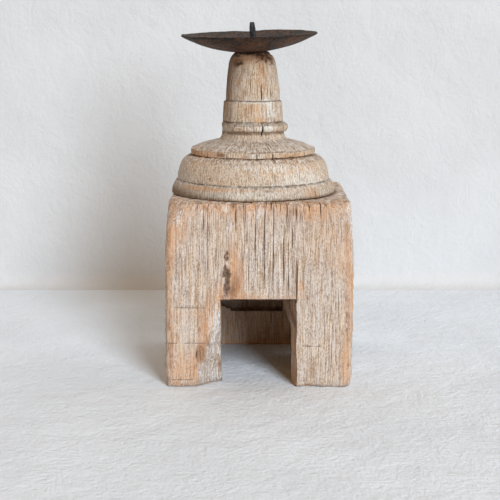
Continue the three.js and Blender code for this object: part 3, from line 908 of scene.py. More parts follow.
def post_section(size, at):
    """The post's section, as radius and height, from its root inside the block to its flat crown"""
    step = TURNED_ROW_STEP
    fine = 0.32 * COARSE
    root = at.ground - 3
    foot_gap = 0.5
    swelling = (size.lip + 5.3, at.ovolo - 0.8)
    pieces = [
        (8, (size.plinth - 4, root)),
        (fine, (size.plinth - 1.4, at.ground), (size.plinth, at.ground + foot_gap)),
        (step, (size.plinth, at.plinth - 3.2), (size.plinth_top, at.plinth)),
        (fine, (size.plinth_top - 1.1, at.plinth + size.groove / 2)),
        (fine, (size.ovolo, at.plinth + size.groove)),
        (step, (size.ovolo - 1, at.ovolo - 3.8), swelling, (size.lip - 1.2, at.ovolo)),
        (fine, (size.lip, at.ovolo + size.groove)),
        (0.6 * COARSE, (size.lip, at.lip - 0.8)),
        (fine, (size.lip, at.lip), (size.lip - 1.6, at.lip + 0.4)),
        (step, (size.lip - 6.4, at.disc - 1.6), (size.disc_crown, at.disc)),
        (0.6 * COARSE, (size.waist, at.disc + 0.8), (size.waist, at.waist)),
        (0.5 * COARSE, (size.bead, at.waist), (size.bead + 1, at.bead), (size.band - 0.6, at.bead)),
        (fine, (size.band, at.bead + size.groove)),
        (step, (size.band - 0.35, at.bead + 6), (size.band_top, at.band - 0.5)),
        (fine, (size.band_top - 0.1, at.band), (size.neck + 0.2, at.band + 0.3)),
        (step, (size.neck, at.band + 8.6), (size.neck_top, at.neck)),
        (0.7 * COARSE, (size.neck_top - 0.5, at.crown - 3.6), (size.crown, at.crown)),
        (1.6 * COARSE, (0.6, at.crown)),
    ]
    return path_points((1.5, root), pieces)


# Paint on the post: angle, height, half width in degrees, half height and strength
POST_WARM = [
    (-12, 141.8, 60, 2.6, 0.45), (40, 141.8, 22, 2.4, 0.3), (5, 156.8, 40, 3.5, 0.5),
    (14, 161.5, 10, 2.2, 1.0), (45, 118, 9, 3.5, 0.7), (-40, 122, 20, 1.5, 0.5), (-10, 202, 60, 5, 1.0),
    (24, 191, 12, 11, 0.5), (-5, 168, 45, 7, 0.32), (0, 184, 60, 14, 0.3), (-50, 137, 12, 3, 0.3),
    (36, 136, 16, 4, 0.3), (-35, 128, 25, 8, 0.35), (20, 128, 10, 8, 0.2), (12, 170, 20, 6, 0.12),
    (50, 133, 20, 6, 0.35), (5, 121.8, 70, 1.3, 0.45), (30, 132.5, 34, 1.8, 0.35),
    (-10, 137.5, 50, 1.6, 0.25), (-70, 141.8, 30, 3, 0.8), (150, 141.8, 60, 3, 0.7),
    (-150, 190, 50, 20, 0.4), (120, 165, 40, 8, 0.4),
]
POST_GREY = [
    (0, 119, 60, 4, 0.8), (10, 116, 60, 3, 0.4), (-46, 118, 26, 7, 0.7), (-70, 120, 38, 9, 0.9),
    (-55, 157, 22, 5, 0.8), (-45, 183, 30, 14, 0.3), (60, 172, 25, 8, 0.2), (52, 118, 16, 6, 0.5),
    (-90, 131, 40, 10, 0.5), (160, 120, 60, 8, 0.5), (-150, 132, 50, 9, 0.4),
]
POST_LIME = [
    (-8, 118.5, 22, 5, 0.4), (38, 128, 30, 8, 0.5), (0, 136, 50, 3.5, 0.35), (2, 141.5, 5, 2, 0.6),
    (20, 146.5, 180, 4, 0.35), (20, 156, 14, 5, 0.35), (34, 168, 14, 6, 0.25),
    (-20, 141.6, 25, 1.2, 0.3), (0, 173.8, 40, 1.2, 0.9), (-16, 160.4, 30, 1.1, 0.6),
    (34, 178, 12, 8, 0.25), (10, 157, 40, 3, 0.45), (42, 167, 20, 7, 0.35), (0, 123.9, 180, 0.9, 0.7),
    (0, 189, 14, 10, 0.25), (120, 130, 50, 10, 0.4), (-140, 141, 20, 3, 0.4),
]
# The second spot, a band all round right under the dish, is partly painted shade
POST_BROWN = [
    (-30, 142, 6, 1.4, 0.8), (0, 205, 180, 3.2, 0.6), (-38, 198.5, 18, 2.2, 0.9),
    (30, 203, 22, 4.5, 0.9), (56, 199, 10, 2.5, 0.6), (-45, 196, 12, 2.5, 0.5),
    (-5, 141.6, 6, 1.3, 0.5),
]


def broken_bead(size, at, angles, radius, plain):
    """How far the bead is broken off at each point, and the radius that is left"""
    height = plain[..., 2]
    bead_rows = smooth(height, at.disc + 1.5, at.waist + 0.3)
    bead_rows = bead_rows * (1 - smooth(height, at.bead + 0.4, at.bead + 1))
    start, end = BEAD_BREAK
    ragged = 3.5 * noise(plain, (3, 3, 3), 102)
    across = (angles[None, :] + ragged - start) % 360
    broken = smooth(across, 0, BREAK_FADE) * (1 - smooth(across, end - start - BREAK_FADE, end - start))
    broken = broken * bead_rows
    left = size.bead_broken + 0.5 * noise(plain, (2.2, 2.2, 5), 103)
    return broken, np.where(radius > left, radius + (left - radius) * broken, radius)


def post_cracks(angles, levels, points):
    """How deep each point of the post lies in a check or a pit"""
    ragged_place = angles[None, :] + 9 * noise(points, (2.4, 2.4, 1.8), 122)
    ragged_height = points[..., 2] + 1.2 * noise(points, (1.8, 1.8, 1.8), 123)
    pits = np.clip(post_patch(ragged_place, ragged_height, POST_PITS), 0, 1.4)
    return np.maximum(check_depths(angles, levels, POST_CHECKS, 111), pits)


def eaten_crown(at, points):
    """How far worms and weather have eaten into the crown"""
    eaten = np.clip(layers(points, (4, 4, 3.4), 118, 2) - 0.12, 0, 1)
    return smooth(points[..., 2], at.neck + 3, at.neck + 8) * eaten


def post_relief(at, points, upright):
    """How far the weathered surface of the post stands out at each point"""
    height = points[..., 2]
    swell = 0.45 * noise(points, (24, 24, 20), 112) + 0.22 * noise(points, (8, 8, 7), 113)
    grain = noise(points, (1.2, 1.2, 30), 114) * 0.11 * upright
    pitted = 0.34 * layers(points, (1.7, 1.7, 1.7), 115, 2) * (1 - upright)
    edge_rows = hump(height - at.lip + 1.5, 2.6) + 0.6 * hump(height - at.plinth, 2)
    edge_rows = edge_rows + 0.6 * hump(height - at.bead + 2, 2.6)
    chips = noise(points, (4.5, 4.5, 5), 116) + 0.4 * noise(points, (2, 2, 2), 117) - 0.4
    chips = np.clip(chips, 0, 1) * 2.5
    frayed = layers(points, (1.5, 1.5, 1.8), 119, 2) * (0.07 + 0.36 * edge_rows)
    return swell + grain + pitted + frayed - chips * edge_rows


def post_dirt(at, angles, height, points):
    """Painted shade with some dirt: darker in the turned grooves and on the plinth, and at the foot and up
    the side away from the light
    """
    # Painted shade with some dirt in the turned grooves, under the bead and along the post's foot
    grooves = [
        (at.ground, 1.2, 1.4), (at.plinth + 0.5, 0.55, 1.0), (at.ovolo + 0.3, 0.6, 1.0),
        (at.waist, 0.7, 0.5), (at.bead + 0.5, 0.6, 0.9), (at.band + 0.2, 0.5, 0.9),
        (at.waist - 0.9, 0.6, 0.7),
    ]
    dirt = sum(strength * hump(height - level, wide) for level, wide, strength in grooves)
    dirt = dirt * (0.5 + 0.5 * smooth(noise(points, (3, 3, 9), 125), -0.45, 0.0))
    aside = turned_away(angles, SHADED_SIDE)
    # Painted shade at the foot, on the side away from the light
    foot_shade = 0.9 * hump(aside, 34)[None, :] * hump(height - at.ground - 1, 4)
    # The plinth a little darker all round
    skirt = 0.2 * (1 - smooth(height, at.plinth - 1, at.plinth))
    # Painted shade up the side away from the light, darker on the neck
    side_shade = 0.55 + 0.35 * smooth(height, at.band - 2, at.band + 4)
    side_shade = side_shade * hump(aside, 32)[None, :] * smooth(height, at.bead - 2, at.bead + 3)
    return dirt + foot_shade + skirt + side_shade


def turned_post(size, ground, seat_plane):
    """The turned post with its wear"""
    at = post_levels(size, ground)
    section = post_section(size, at)
    angles = spaced_columns(-180, 180, TURNED_COLUMN_ANGLE, POST_CHECKS)
    radius = section[:, 0][:, None]
    height = np.broadcast_to(section[:, 1][:, None], (len(section), len(angles)))
    turn = np.radians(angles)[None, :]

    def ring(reach):
        return np.stack([reach * np.sin(turn), -reach * np.cos(turn), height], axis=-1)

    plain = ring(np.broadcast_to(radius, height.shape))
    wander = 0.9 * noise(plain, (14, 14, 26), 101) * smooth(radius, 4, 14)
    turn = turn + np.radians(wander)
    plain = ring(np.broadcast_to(radius, height.shape))

    broken, reach = broken_bead(size, at, angles, radius, plain)
    points = ring(reach)
    normals = outward(points)
    upright = 1 - np.abs(normals[..., 2])
    shown = smooth(section[:, 0], 6, 11)[:, None]
    depth = post_cracks(angles, section[:, 1], points)
    eaten = eaten_crown(at, points)
    eaten_side = 0.35 + 0.65 * hump(turned_away(angles, EATEN_SIDE), 34)[None, :]
    lift = post_relief(at, points, upright) - EATEN_DEPTH * eaten * eaten_side
    points = points + normals * ((lift - depth) * shown)[..., None]
    wavy = hump(height - at.ovolo - 1.5, 3) * smooth(radius, size.lip - 8, size.lip - 2)
    points[..., 2] += 0.45 * wavy * noise(plain, (9, 9, 60), 124)
    points[..., 0] += size.axis_x - size.top_drift * smooth(height, at.plinth, at.crown)
    points[..., 2] = np.minimum(points[..., 2], seat_plane(points[..., 0], points[..., 1]))

    cloud = noise(points, (12, 12, 16), 121)
    behind = smooth(np.abs(angles), 80, 110)[None, :]
    place = angles[None, :]

    # In the order of the timber's tones, and then of its marks
    tones = np.stack([
        post_patch(place, height, POST_WARM) + 0.35 * smooth(cloud, 0.1, 0.6) * behind,
        post_patch(place, height, POST_GREY) + 0.3 * smooth(-cloud, 0.1, 0.6),
        post_patch(place, height, POST_LIME),
        post_dirt(at, angles, height, points),
    ], axis=-1)
    marks = np.stack([
        # Painted shade in the checks and pits, darker the deeper they are
        depth / DARK_DEPTH,
        broken * 0.7,
        post_patch(place, height, POST_BROWN) + 1.6 * eaten * eaten_side,
        np.zeros(height.shape),
    ], axis=-1)
    return ring_mesh("post", points, np.clip(tones, 0, 1), np.clip(marks, 0, 1))


# The iron pieces


def dish_axes():
    """The directions of the dish's own frame: to its right, to its back and up"""
    right = np.array([1.0, 0, 0])
    right = right - DISH_UP * right.dot(DISH_UP)
    right = right / np.linalg.norm(right)
    return np.stack([right, np.cross(DISH_UP, right), DISH_UP])


def dish_origin(iron):
    """Where the pricket goes through the dish's underside"""
    foot = np.array([iron.place, 0, 0])
    above = iron.sheet + iron.gap + iron.shoulder_height
    rise = (to_mm(SEAT["pos_m"]) - foot).dot(DISH_UP) - above
    return foot + np.array([0, 0, rise / DISH_UP[2]])


def placed_on_dish(points, iron):
    """Points of the dish's own frame in the model's frame"""
    return dish_origin(iron) + points @ dish_axes()


def flat_under_dish(iron):
    """The height of the flat under the dish at any place"""
    origin = dish_origin(iron)

    def plane(x, y):
        slope = (x - origin[0]) * DISH_UP[0] + (y - origin[1]) * DISH_UP[1]
        return origin[2] - slope / DISH_UP[2] - iron.gap

    return plane


def dish_section(iron):
    """The dish's section as a closed loop of radius and height: out under the dish and back over it"""
    floor, rim, depth = iron.dish_floor, iron.dish_radius, iron.dish_depth
    bend = (floor + 15, iron.dish_swell)
    turn_up = (rim - 6, 0.6 * depth)
    hole = 3.2
    step = 1.1 * COARSE
    under = path_points((hole, 0), [
        (step, (floor, 0)),
        (step, bend, turn_up, (rim, depth - iron.rim)),
        (0.3, (rim + 0.25, depth - iron.rim / 2), (rim - 0.2, depth)),
    ])
    turn_up_inside = (turn_up[0] - 0.8, turn_up[1] + 0.8)
    bend_inside = (bend[0] - 0.3, bend[1] + iron.sheet)
    over = path_points((rim - 0.9, depth - 0.15), [
        (step, turn_up_inside, bend_inside, (floor, iron.sheet)),
        (step, (hole, iron.sheet)),
    ])
    return np.concatenate([under, over])


HAMMER_MARKS = 210


def drip_dish(iron):
    """The hammered iron dish"""
    random = np.random.default_rng(19)
    section = dish_section(iron)
    turn = np.radians(np.arange(0, 360, 1.5 * COARSE))[None, :]
    radius = np.broadcast_to(section[:, 0][:, None], (len(section), turn.shape[1]))
    height = np.broadcast_to(section[:, 1][:, None], radius.shape)
    flat = np.stack([radius * np.cos(turn), radius * np.sin(turn), np.zeros(radius.shape)], axis=-1)
    out = smooth(radius, iron.dish_floor, iron.dish_radius)
    rim = smooth(radius, iron.dish_radius - 5, iron.dish_radius)
    waves = 0.32 * noise(flat, 28, 131) + 0.1 * noise(flat, 9, 132)
    sheet_shape = waves - iron.dish_rack * np.cos(turn) * radius / iron.dish_radius
    for _ in range(HAMMER_MARKS):
        reach = iron.dish_radius * math.sqrt(random.uniform(0.03, 1))
        around = random.uniform(0, 2 * math.pi)
        centre = np.array([reach * math.cos(around), reach * math.sin(around), 0])
        wide = random.uniform(2.2, 4.2)
        distance = np.linalg.norm(flat - centre, axis=-1)
        sheet_shape = sheet_shape + random.uniform(-0.3, 0.2) * hump(distance, wide)
    nibbled = rim * (0.2 * noise(flat, 5, 133) + 0.16 * noise(flat, 1.8, 134))
    reach = radius + 0.4 * rim * noise(flat, 18, 135) + nibbled * 0.6
    solid = np.concatenate([flat[..., :2], height[..., None]], axis=-1)
    crust = 0.12 * layers(solid, 1.6, 136, 2)
    level = height + (sheet_shape + crust) * out + nibbled * 0.4
    tones = np.zeros((*radius.shape, 4))
    rim_row = np.argmax(section[:, 0])
    tones[rim_row + 2 :, :, INSIDE] = 1
    tones[..., EDGE] = hump(radius - iron.dish_radius, 0.7)
    points = np.stack([reach * np.cos(turn) - iron.dish_offset, reach * np.sin(turn), level], axis=-1)
    return ring_mesh("drip_dish_iron", placed_on_dish(points, iron), tones, joined=True)


BAR_POINTS = 32


def bar_ring(width, round_share, turn, shift):
    """One section of a forged square bar: its width, how round its corners are, its turn and its shift"""
    around = np.linspace(0, 2 * math.pi, BAR_POINTS + 1)[:-1]
    power = 2 / (2 + 6 * (1 - round_share))
    x = np.sign(np.cos(around)) * np.abs(np.cos(around)) ** power
    y = np.sign(np.sin(around)) * np.abs(np.sin(around)) ** power
    x, y = x * math.cos(turn) - y * math.sin(turn), x * math.sin(turn) + y * math.cos(turn)
    return np.stack([x * width / 2 + shift[0], y * width / 2 + shift[1]], axis=-1)


def pricket(iron):
    """The forged spike with its shoulder and its tang, as rings from the tang's end to the tip"""
    low = iron.sheet + iron.gap
    top = low + iron.shoulder_height
    tip = top + iron.spike_rise
    shoulder = 2 * iron.shoulder
    # Height, width and how round the corners are
    stations = [
        (-iron.tang_length, iron.tang_tip, 0.3), (low - 0.5, iron.tang_width, 0.2),
        (low, iron.tang_width + 0.4, 0.5), (low + 0.05, shoulder - 0.7, 1.0),
        (low + 0.35, shoulder, 1.0), (top - 0.5, shoulder - 0.5, 1.0),
        (top - 0.1, shoulder - 1.8, 0.9), (top, iron.spike_width + 1.2, 0.6),
        (top + 0.7, iron.spike_width + 0.1, 0.25), (top + 7, iron.spike_width, 0.2),
        (tip - 4.5, iron.spike_width - 0.2, 0.2), (tip - 2.2, iron.spike_tip + 0.45, 0.2),
        (tip - 0.5, iron.spike_tip, 0.3), (tip, iron.spike_tip - 0.6, 0.5),
    ]
    levels, widths, rounds = (np.array(column) for column in zip(*stations))
    heights = []
    for start, end in zip(levels, levels[1:]):
        count = max(2, math.ceil((end - start) / (0.8 * COARSE)))
        heights.append(np.linspace(start, end, count)[:-1])
    heights = np.concatenate([*heights, levels[-1:]])
    rings = []
    for height in heights:
        width = np.interp(height, levels, widths)
        up = smooth(height, top + 4, tip)
        shift = (iron.spike_set * smooth(height, top - 0.5, top + 1.5) - iron.spike_lean * up, 0.15 * up)
        turn = math.radians(8) * smooth(height, low, tip)
        outline = bar_ring(width, np.interp(height, levels, rounds), turn, shift)
        rings.append(np.concatenate([outline, np.full((len(outline), 1), height)], axis=-1))
    points = np.array(rings)
    normals = outward(points)
    forged = 0.16 * noise(points, 3.2, 141) + 0.08 * noise(points, 1.2, 142)
    shown = smooth(points[..., 2], low - 1, low + 0.4)
    points = points + normals * (forged * shown)[..., None]
    return ring_mesh("pricket_iron", placed_on_dish(points, iron))


def tang_hole(iron):
    """The body that cuts the tapered square hole for the tang"""
    rings = []
    for level, width in ((-iron.tang_length - iron.gap, iron.tang_tip), (iron.sheet, iron.tang_width)):
        outline = bar_ring(width + 3 * iron.gap, 0.2, 0, (0, 0))
        rings.append(np.concatenate([outline, np.full((len(outline), 1), level)], axis=-1))
    points = placed_on_dish(np.array(rings), iron)
    tones = np.zeros((*points.shape[:2], 4))
    # The hole's walls are painted dark all over, as shade
    tones[..., SHADE_AND_DIRT] = 1
    return ring_mesh("tang_hole", points, tones, np.zeros_like(tones))


# Materials

# Where a mix node keeps its two values and its result, as numbers and as colours
FIRST_NUMBER, SECOND_NUMBER, NUMBER = 2, 3, 0
FIRST_COLOUR, SECOND_COLOUR, COLOUR = 6, 7, 2


class Board:
    """The nodes of one material, and short ways to add to them"""

    def __init__(self, name):
        self.material = bpy.data.materials.new(name)
        self.material.use_nodes = True
        self.nodes = self.material.node_tree.nodes
        self.links = self.material.node_tree.links
        self.shader = self.nodes["Principled BSDF"]
        place = self.nodes.new("ShaderNodeTexCoord")
        scale = self.nodes.new("ShaderNodeMapping")
        scale.inputs["Scale"].default_value = (1 / MM, 1 / MM, 1 / MM)
        self.links.new(place.outputs["Object"], scale.inputs["Vector"])
        self.place = scale.outputs["Vector"]

    def set(self, socket, value):
        """Joins a value to a socket, or writes a plain number or colour into it"""
        if isinstance(value, bpy.types.NodeSocket):
            self.links.new(value, socket)
        else:
            socket.default_value = value

    def stretched(self, across, along):
        """The place drawn out along Z. across and along are counts of swells in a millimetre"""
        node = self.nodes.new("ShaderNodeMapping")
        node.inputs["Scale"].default_value = (across, across, along)
        self.links.new(self.place, node.inputs["Vector"])
        return node.outputs["Vector"]

    def height(self):
        """How high a point lies, in millimetres"""
        node = self.nodes.new("ShaderNodeSeparateXYZ")
        self.links.new(self.place, node.inputs["Vector"])
        return node.outputs["Z"]

    def facing_up(self):
        """How far the surface faces up, from -1 to 1"""
        place = self.nodes.new("ShaderNodeTexCoord")
        split = self.nodes.new("ShaderNodeSeparateXYZ")
        self.links.new(place.outputs["Normal"], split.inputs["Vector"])
        return split.outputs["Z"]

    def round_post(self, radius, across, along, outward=0.0):
        """The place unrolled round the post. Grain runs down its mouldings and out over its flats"""
        split = self.nodes.new("ShaderNodeSeparateXYZ")
        self.links.new(self.place, split.inputs["Vector"])
        side = self.math("SUBTRACT", split.outputs["X"], POST_AXIS_X)
        turn = self.math("ARCTAN2", side, self.math("MULTIPLY", split.outputs["Y"], -1))
        joined = self.nodes.new("ShaderNodeCombineXYZ")
        self.links.new(self.math("MULTIPLY", turn, radius * across), joined.inputs["X"])
        self.links.new(self.math("MULTIPLY", split.outputs["Z"], along), joined.inputs["Z"])
        if outward:
            back = split.outputs["Y"]
            square = self.math("ADD", self.math("MULTIPLY", side, side), self.math("POWER", back, 2.0))
            reach = self.math("SQRT", square)
            self.links.new(self.math("MULTIPLY", reach, outward), joined.inputs["Y"])
        return joined.outputs["Vector"]

    def blend(self, factor, first, second):
        """Goes from the first value to the second"""
        node = self.nodes.new("ShaderNodeMix")
        self.set(node.inputs["Factor"], factor)
        self.links.new(first, node.inputs[FIRST_NUMBER])
        self.links.new(second, node.inputs[SECOND_NUMBER])
        return node.outputs[NUMBER]

    def noise(self, vector, detail, roughness, distortion=0.0):
        """Cloudy values around a half"""
        node = self.nodes.new("ShaderNodeTexNoise")
        node.inputs["Scale"].default_value = 1
        node.inputs["Detail"].default_value = detail
        node.inputs["Roughness"].default_value = roughness
        node.inputs["Distortion"].default_value = distortion
        self.links.new(vector, node.inputs["Vector"])
        return node.outputs["Fac"]

    def math(self, operation, first, second=0):
        """The result of an operation on one value or two"""
        node = self.nodes.new("ShaderNodeMath")
        node.operation = operation
        self.set(node.inputs[0], first)
        self.set(node.inputs[1], second)
        return node.outputs["Value"]

    def total(self, *parts):
        """The sum of several values, each times its share"""
        (first, share), *others = parts
        sum_so_far = self.math("MULTIPLY", first, share)
        for value, share in others:
            node = self.nodes.new("ShaderNodeMath")
            node.operation = "MULTIPLY_ADD"
            self.set(node.inputs[0], value)
            node.inputs[1].default_value = share
            self.links.new(sum_so_far, node.inputs[2])
            sum_so_far = node.outputs["Value"]
        return sum_so_far

    def between(self, value, low, high, start=0.0, end=1.0):
        """Turns low to high into start to end, smoothly"""
        node = self.nodes.new("ShaderNodeMapRange")
        node.interpolation_type = "SMOOTHSTEP"
        for socket, number in zip(("From Min", "From Max", "To Min", "To Max"), (low, high, start, end)):
            node.inputs[socket].default_value = number
        self.links.new(value, node.inputs["Value"])
        return node.outputs["Result"]

    def mix(self, factor, first, second, blend="MIX"):
        """Goes from the first colour to the second, or lays the second over the first"""
        node = self.nodes.new("ShaderNodeMix")
        node.data_type = "RGBA"
        node.blend_type = blend
        self.set(node.inputs["Factor"], factor)
        for place, value in ((FIRST_COLOUR, first), (SECOND_COLOUR, second)):
            self.set(node.inputs[place], value if isinstance(value, bpy.types.NodeSocket) else (*value, 1))
        return node.outputs[COLOUR]

    def cover(self, colour, mask, strength, tone):
        """Covers a colour with a tone where the mask is 1, as strongly as said"""
        return self.mix(self.math("MULTIPLY", mask, strength), colour, tone)

    def painted(self, label):
        """The four channels of a colour that is painted on the mesh"""
        node = self.nodes.new("ShaderNodeAttribute")
        node.attribute_name = label
        split = self.nodes.new("ShaderNodeSeparateColor")
        self.links.new(node.outputs["Color"], split.inputs["Color"])
        return (*split.outputs, node.outputs["Alpha"])

    def bump(self, height, distance, strength):
        """Fine relief, with its height in millimetres"""
        node = self.nodes.new("ShaderNodeBump")
        node.inputs["Distance"].default_value = distance * MM
        node.inputs["Strength"].default_value = strength
        self.links.new(height, node.inputs["Height"])
        return node.outputs["Normal"]

    def surface(self, colour, roughness, specular, normal, metallic=0):
        """Gives the surface its values, and hands over the material"""
        sockets = self.shader.inputs
        self.set(sockets["Base Color"], colour)
        self.set(sockets["Roughness"], roughness)
        self.set(sockets["Specular IOR Level"], specular)
        self.set(sockets["Normal"], normal)
        self.set(sockets["Metallic"], metallic)
        return self.material


# Heights between which one pattern of the timber gives way to the next
POST_FOOT = (114.9, 115.5)
PLINTH_TOP = (123.5, 125)
DISC_SLOPE = (140, 142)
WAIST_FOOT = (149, 151)

# Laid over a colour, as shares of red, green and blue
COOL_WASH = (0.97, 1.0, 1.045)
WARM_WASH = (1.03, 1.0, 0.94)
# The last one darkens the painted shade and dirt
SHADE_AND_DIRT_WASH = (0.36, 0.27, 0.2)

# The black scale left on the dish
SCALE_BLACK = (0.006, 0.005, 0.004)


def timber_patterns(board):
    """The patterns that the timber's colours and its relief are made from"""
    height = board.height()
    post = board.between(height, *POST_FOOT)
    turned = board.math("MULTIPLY", post, board.between(height, *DISC_SLOPE, 1, 0))
    end_grain = board.between(board.facing_up(), 0.5, 0.85)

    streaks = board.noise(board.stretched(0.38, 0.014), 3, 0.6, 0.2)
    grit = board.noise(board.stretched(1.45, 0.8), 1, 0.5)
    block_fibres = board.noise(board.stretched(1.6, 0.055), 1.2, 0.5)
    foot_fibres = board.noise(board.round_post(50, 1.4, 0.16), 1.2, 0.5)
    neck_fibres = board.noise(board.round_post(18, 1.35, 0.11), 1.2, 0.5)
    fibres = board.blend(turned, block_fibres, foot_fibres)
    fibres = board.blend(board.between(height, *WAIST_FOOT), fibres, neck_fibres)

    grain = board.total((fibres, 0.57), (grit, 0.39), (streaks, 0.04))
    calm = board.math("MULTIPLY", turned, board.between(height, *PLINTH_TOP, 0.15, 0.4))
    grain = board.blend(calm, grain, board.total((grit, 0.7), (streaks, 0.3)))
    crumbs = board.noise(board.round_post(36, 1.0, 0.5, 0.24), 0.6, 0.5, 0.4)
    grain = board.blend(end_grain, grain, board.total((grain, 0.25), (crumbs, 0.75)))
    return SimpleNamespace(
        post=post, turned=turned, end_grain=end_grain, streaks=streaks, grit=grit, fibres=fibres,
        grain=grain, crumbs=crumbs, turning=board.noise(board.stretched(0.03, 0.42), 3, 0.6),
        ragged=board.total((fibres, 1.1), (grit, 0.8), (streaks, 0.4)),
    )


def bare_timber(board, finish, at, warm, grey):
    """Fibres and furrows, with patches that have gone silvery or orange"""
    grain = at.grain
    colour = board.mix(board.between(grain, 0.40, 0.50), finish.wood_deep, finish.wood_middle)
    colour = board.mix(board.between(grain, 0.50, 0.59), colour, finish.wood_light)

    tint = board.noise(board.stretched(0.5, 0.04), 4, 0.7)
    tint = board.blend(at.post, tint, board.total((tint, 0.6), (at.turning, 0.4)))
    gain = board.between(at.post, 0, 1, 0.19, 0.26)
    tint = board.math("MULTIPLY", board.math("SUBTRACT", tint, 0.5), gain)
    cool = board.between(board.total((tint, -1), (at.grit, 0.3), (grey, 0.25)), 0.18, 0.40, 0, 0.6)
    cool_tone = board.mix(board.between(grain, 0.42, 0.60), finish.wood_grey, finish.lime)
    colour = board.mix(cool, colour, cool_tone)
    orange = board.between(board.total((tint, 1), (at.grit, 0.4), (warm, 0.3)), 0.24, 0.52, 0, 0.85)
    deep_orange = board.mix(0.4, finish.wood_warm, finish.wood_brown)
    warm_tone = board.mix(board.between(grain, 0.41, 0.52), deep_orange, finish.wood_warm)
    warm_tone = board.mix(board.between(grain, 0.52, 0.62, 0, 0.6), warm_tone, finish.wood_light)
    colour = board.mix(orange, colour, warm_tone)
    tan = board.mix(0.5, finish.wood_warm, finish.wood_middle)
    return board.mix(board.between(warm, 0.2, 1.0, 0, 0.35), colour, tan)


def weathered_timber(board, finish, at, colour, split, lime):
    """The silvery split, the limewash and the washes of cool and warm tones"""
    blotches = board.noise(board.stretched(0.075, 0.03), 3, 0.6)
    silver = board.mix(0.3, finish.wood_grey, finish.wood_deep)
    split_tone = board.mix(board.between(at.grain, 0.48, 0.68), silver, finish.lime)
    split_patch = board.math("MULTIPLY", split, board.between(blotches, 0.3, 0.6, 0.85, 0.65))
    colour = board.mix(split_patch, colour, split_tone)
    lime_patch = board.between(board.total((lime, 1), (at.ragged, 0.7)), 1.0, 1.5)
    colour = board.cover(colour, lime_patch, 0.75, finish.lime)
    flecks = board.noise(board.stretched(1.4, 1.0), 1, 0.5)
    colour = board.mix(board.between(flecks, 0.6, 0.68, 0, 0.35), colour, finish.lime)
    colour = board.mix(at.post, colour, board.mix(1.0, colour, finish.turned_tint, "MULTIPLY"))
    hue = board.noise(board.stretched(0.36, 0.05), 2, 0.5)
    hue = board.blend(at.post, hue, board.total((hue, 0.55), (at.turning, 0.45)))
    wash = board.mix(board.between(hue, 0.36, 0.64), COOL_WASH, WARM_WASH)
    return board.mix(1.0, colour, wash, "MULTIPLY")


def stained_timber(board, finish, at, colour, stains):
    """The brown stain, the filled groove, the painted shade with some dirt and the checks painted dark as
    shade
    """
    brown_patch = board.between(board.total((stains.brown, 1), (at.ragged, 0.4)), 0.6, 1.2)
    deep_orange = board.mix(0.4, finish.wood_warm, finish.wood_brown)
    brown_tone = board.mix(board.between(at.post, 0, 1, 0.3, 1), deep_orange, finish.wood_brown)
    brown_tone = board.mix(board.between(at.grain, 0.42, 0.6), finish.wood_brown, brown_tone)
    colour = board.cover(colour, brown_patch, 0.8, brown_tone)
    filled = board.mix(board.between(at.grit, 0.4, 0.6), finish.crack_shade_and_filler, finish.wood_brown)
    colour = board.cover(colour, stains.groove, 0.85, filled)
    # Painted shade with some dirt, laid over as a darker brown
    dirt_patch = board.between(board.total((stains.dirt, 1), (at.grit, 0.5)), 0.25, 1.3)
    dirty = board.mix(1.0, colour, SHADE_AND_DIRT_WASH, "MULTIPLY")
    colour = board.cover(colour, dirt_patch, 0.9, dirty)
    # The checks painted dark, as shade
    return board.mix(board.between(stains.check, 0.18, 0.95, 0, 0.7), colour, finish.crack_shade_and_filler)


def timber_material(finish):
    """Bleached, cracked timber with limewash, orange patches and grey ones"""
    board = Board("weathered_timber")
    warm, grey, lime, dirt = board.painted("tones")
    check, split, brown, groove = board.painted("marks")
    at = timber_patterns(board)
    colour = bare_timber(board, finish, at, warm, grey)
    colour = weathered_timber(board, finish, at, colour, split, lime)

    pores = board.noise(board.stretched(1.55, 0.34), 1, 0.5)
    pore_patch = board.between(board.total((pores, 1), (grey, 0.04), (split, 0.05)), 0.6, 0.69)
    colour = board.cover(colour, pore_patch, 0.44, finish.wood_brown)
    crumbled = board.math("MULTIPLY", at.end_grain, board.between(at.crumbs, 0.55, 0.63))
    colour = board.cover(colour, crumbled, 0.52, finish.wood_brown)
    crust = board.math("MULTIPLY", at.end_grain, board.between(at.crumbs, 0.39, 0.48, 0.9, 0))
    colour = board.mix(crust, colour, board.mix(0.5, finish.wood_light, finish.lime))
    hairs = board.noise(board.stretched(0.5, 0.009), 2, 0.5, 0.1)
    thickets = board.noise(board.stretched(0.2, 0.03), 2, 0.5)
    line = board.between(board.math("ABSOLUTE", board.math("SUBTRACT", hairs, 0.5)), 0.004, 0.022, 1, 0)
    hair_patch = board.math("MULTIPLY", line, board.between(thickets, 0.42, 0.6))
    hair_patch = board.math("MULTIPLY", hair_patch, board.between(at.turned, 0, 1, 1, 0.3))
    colour = board.cover(colour, hair_patch, 0.5, finish.wood_brown)

    stains = SimpleNamespace(check=check, brown=brown, groove=groove, dirt=dirt)
    colour = stained_timber(board, finish, at, colour, stains)
    roughness = board.between(at.grain, 0.35, 0.65, 0.97, 0.84)
    relief = board.total(
        (at.fibres, 0.6), (at.streaks, 0.3), (at.grit, 0.45), (pore_patch, -0.25), (hair_patch, -0.35)
    )
    crumbly = board.total((relief, 0.4), (at.crumbs, -2.6), (crumbled, -0.4))
    relief = board.blend(at.end_grain, relief, crumbly)
    return board.surface(colour, roughness, 0.25, board.bump(relief, 0.55, 0.85))


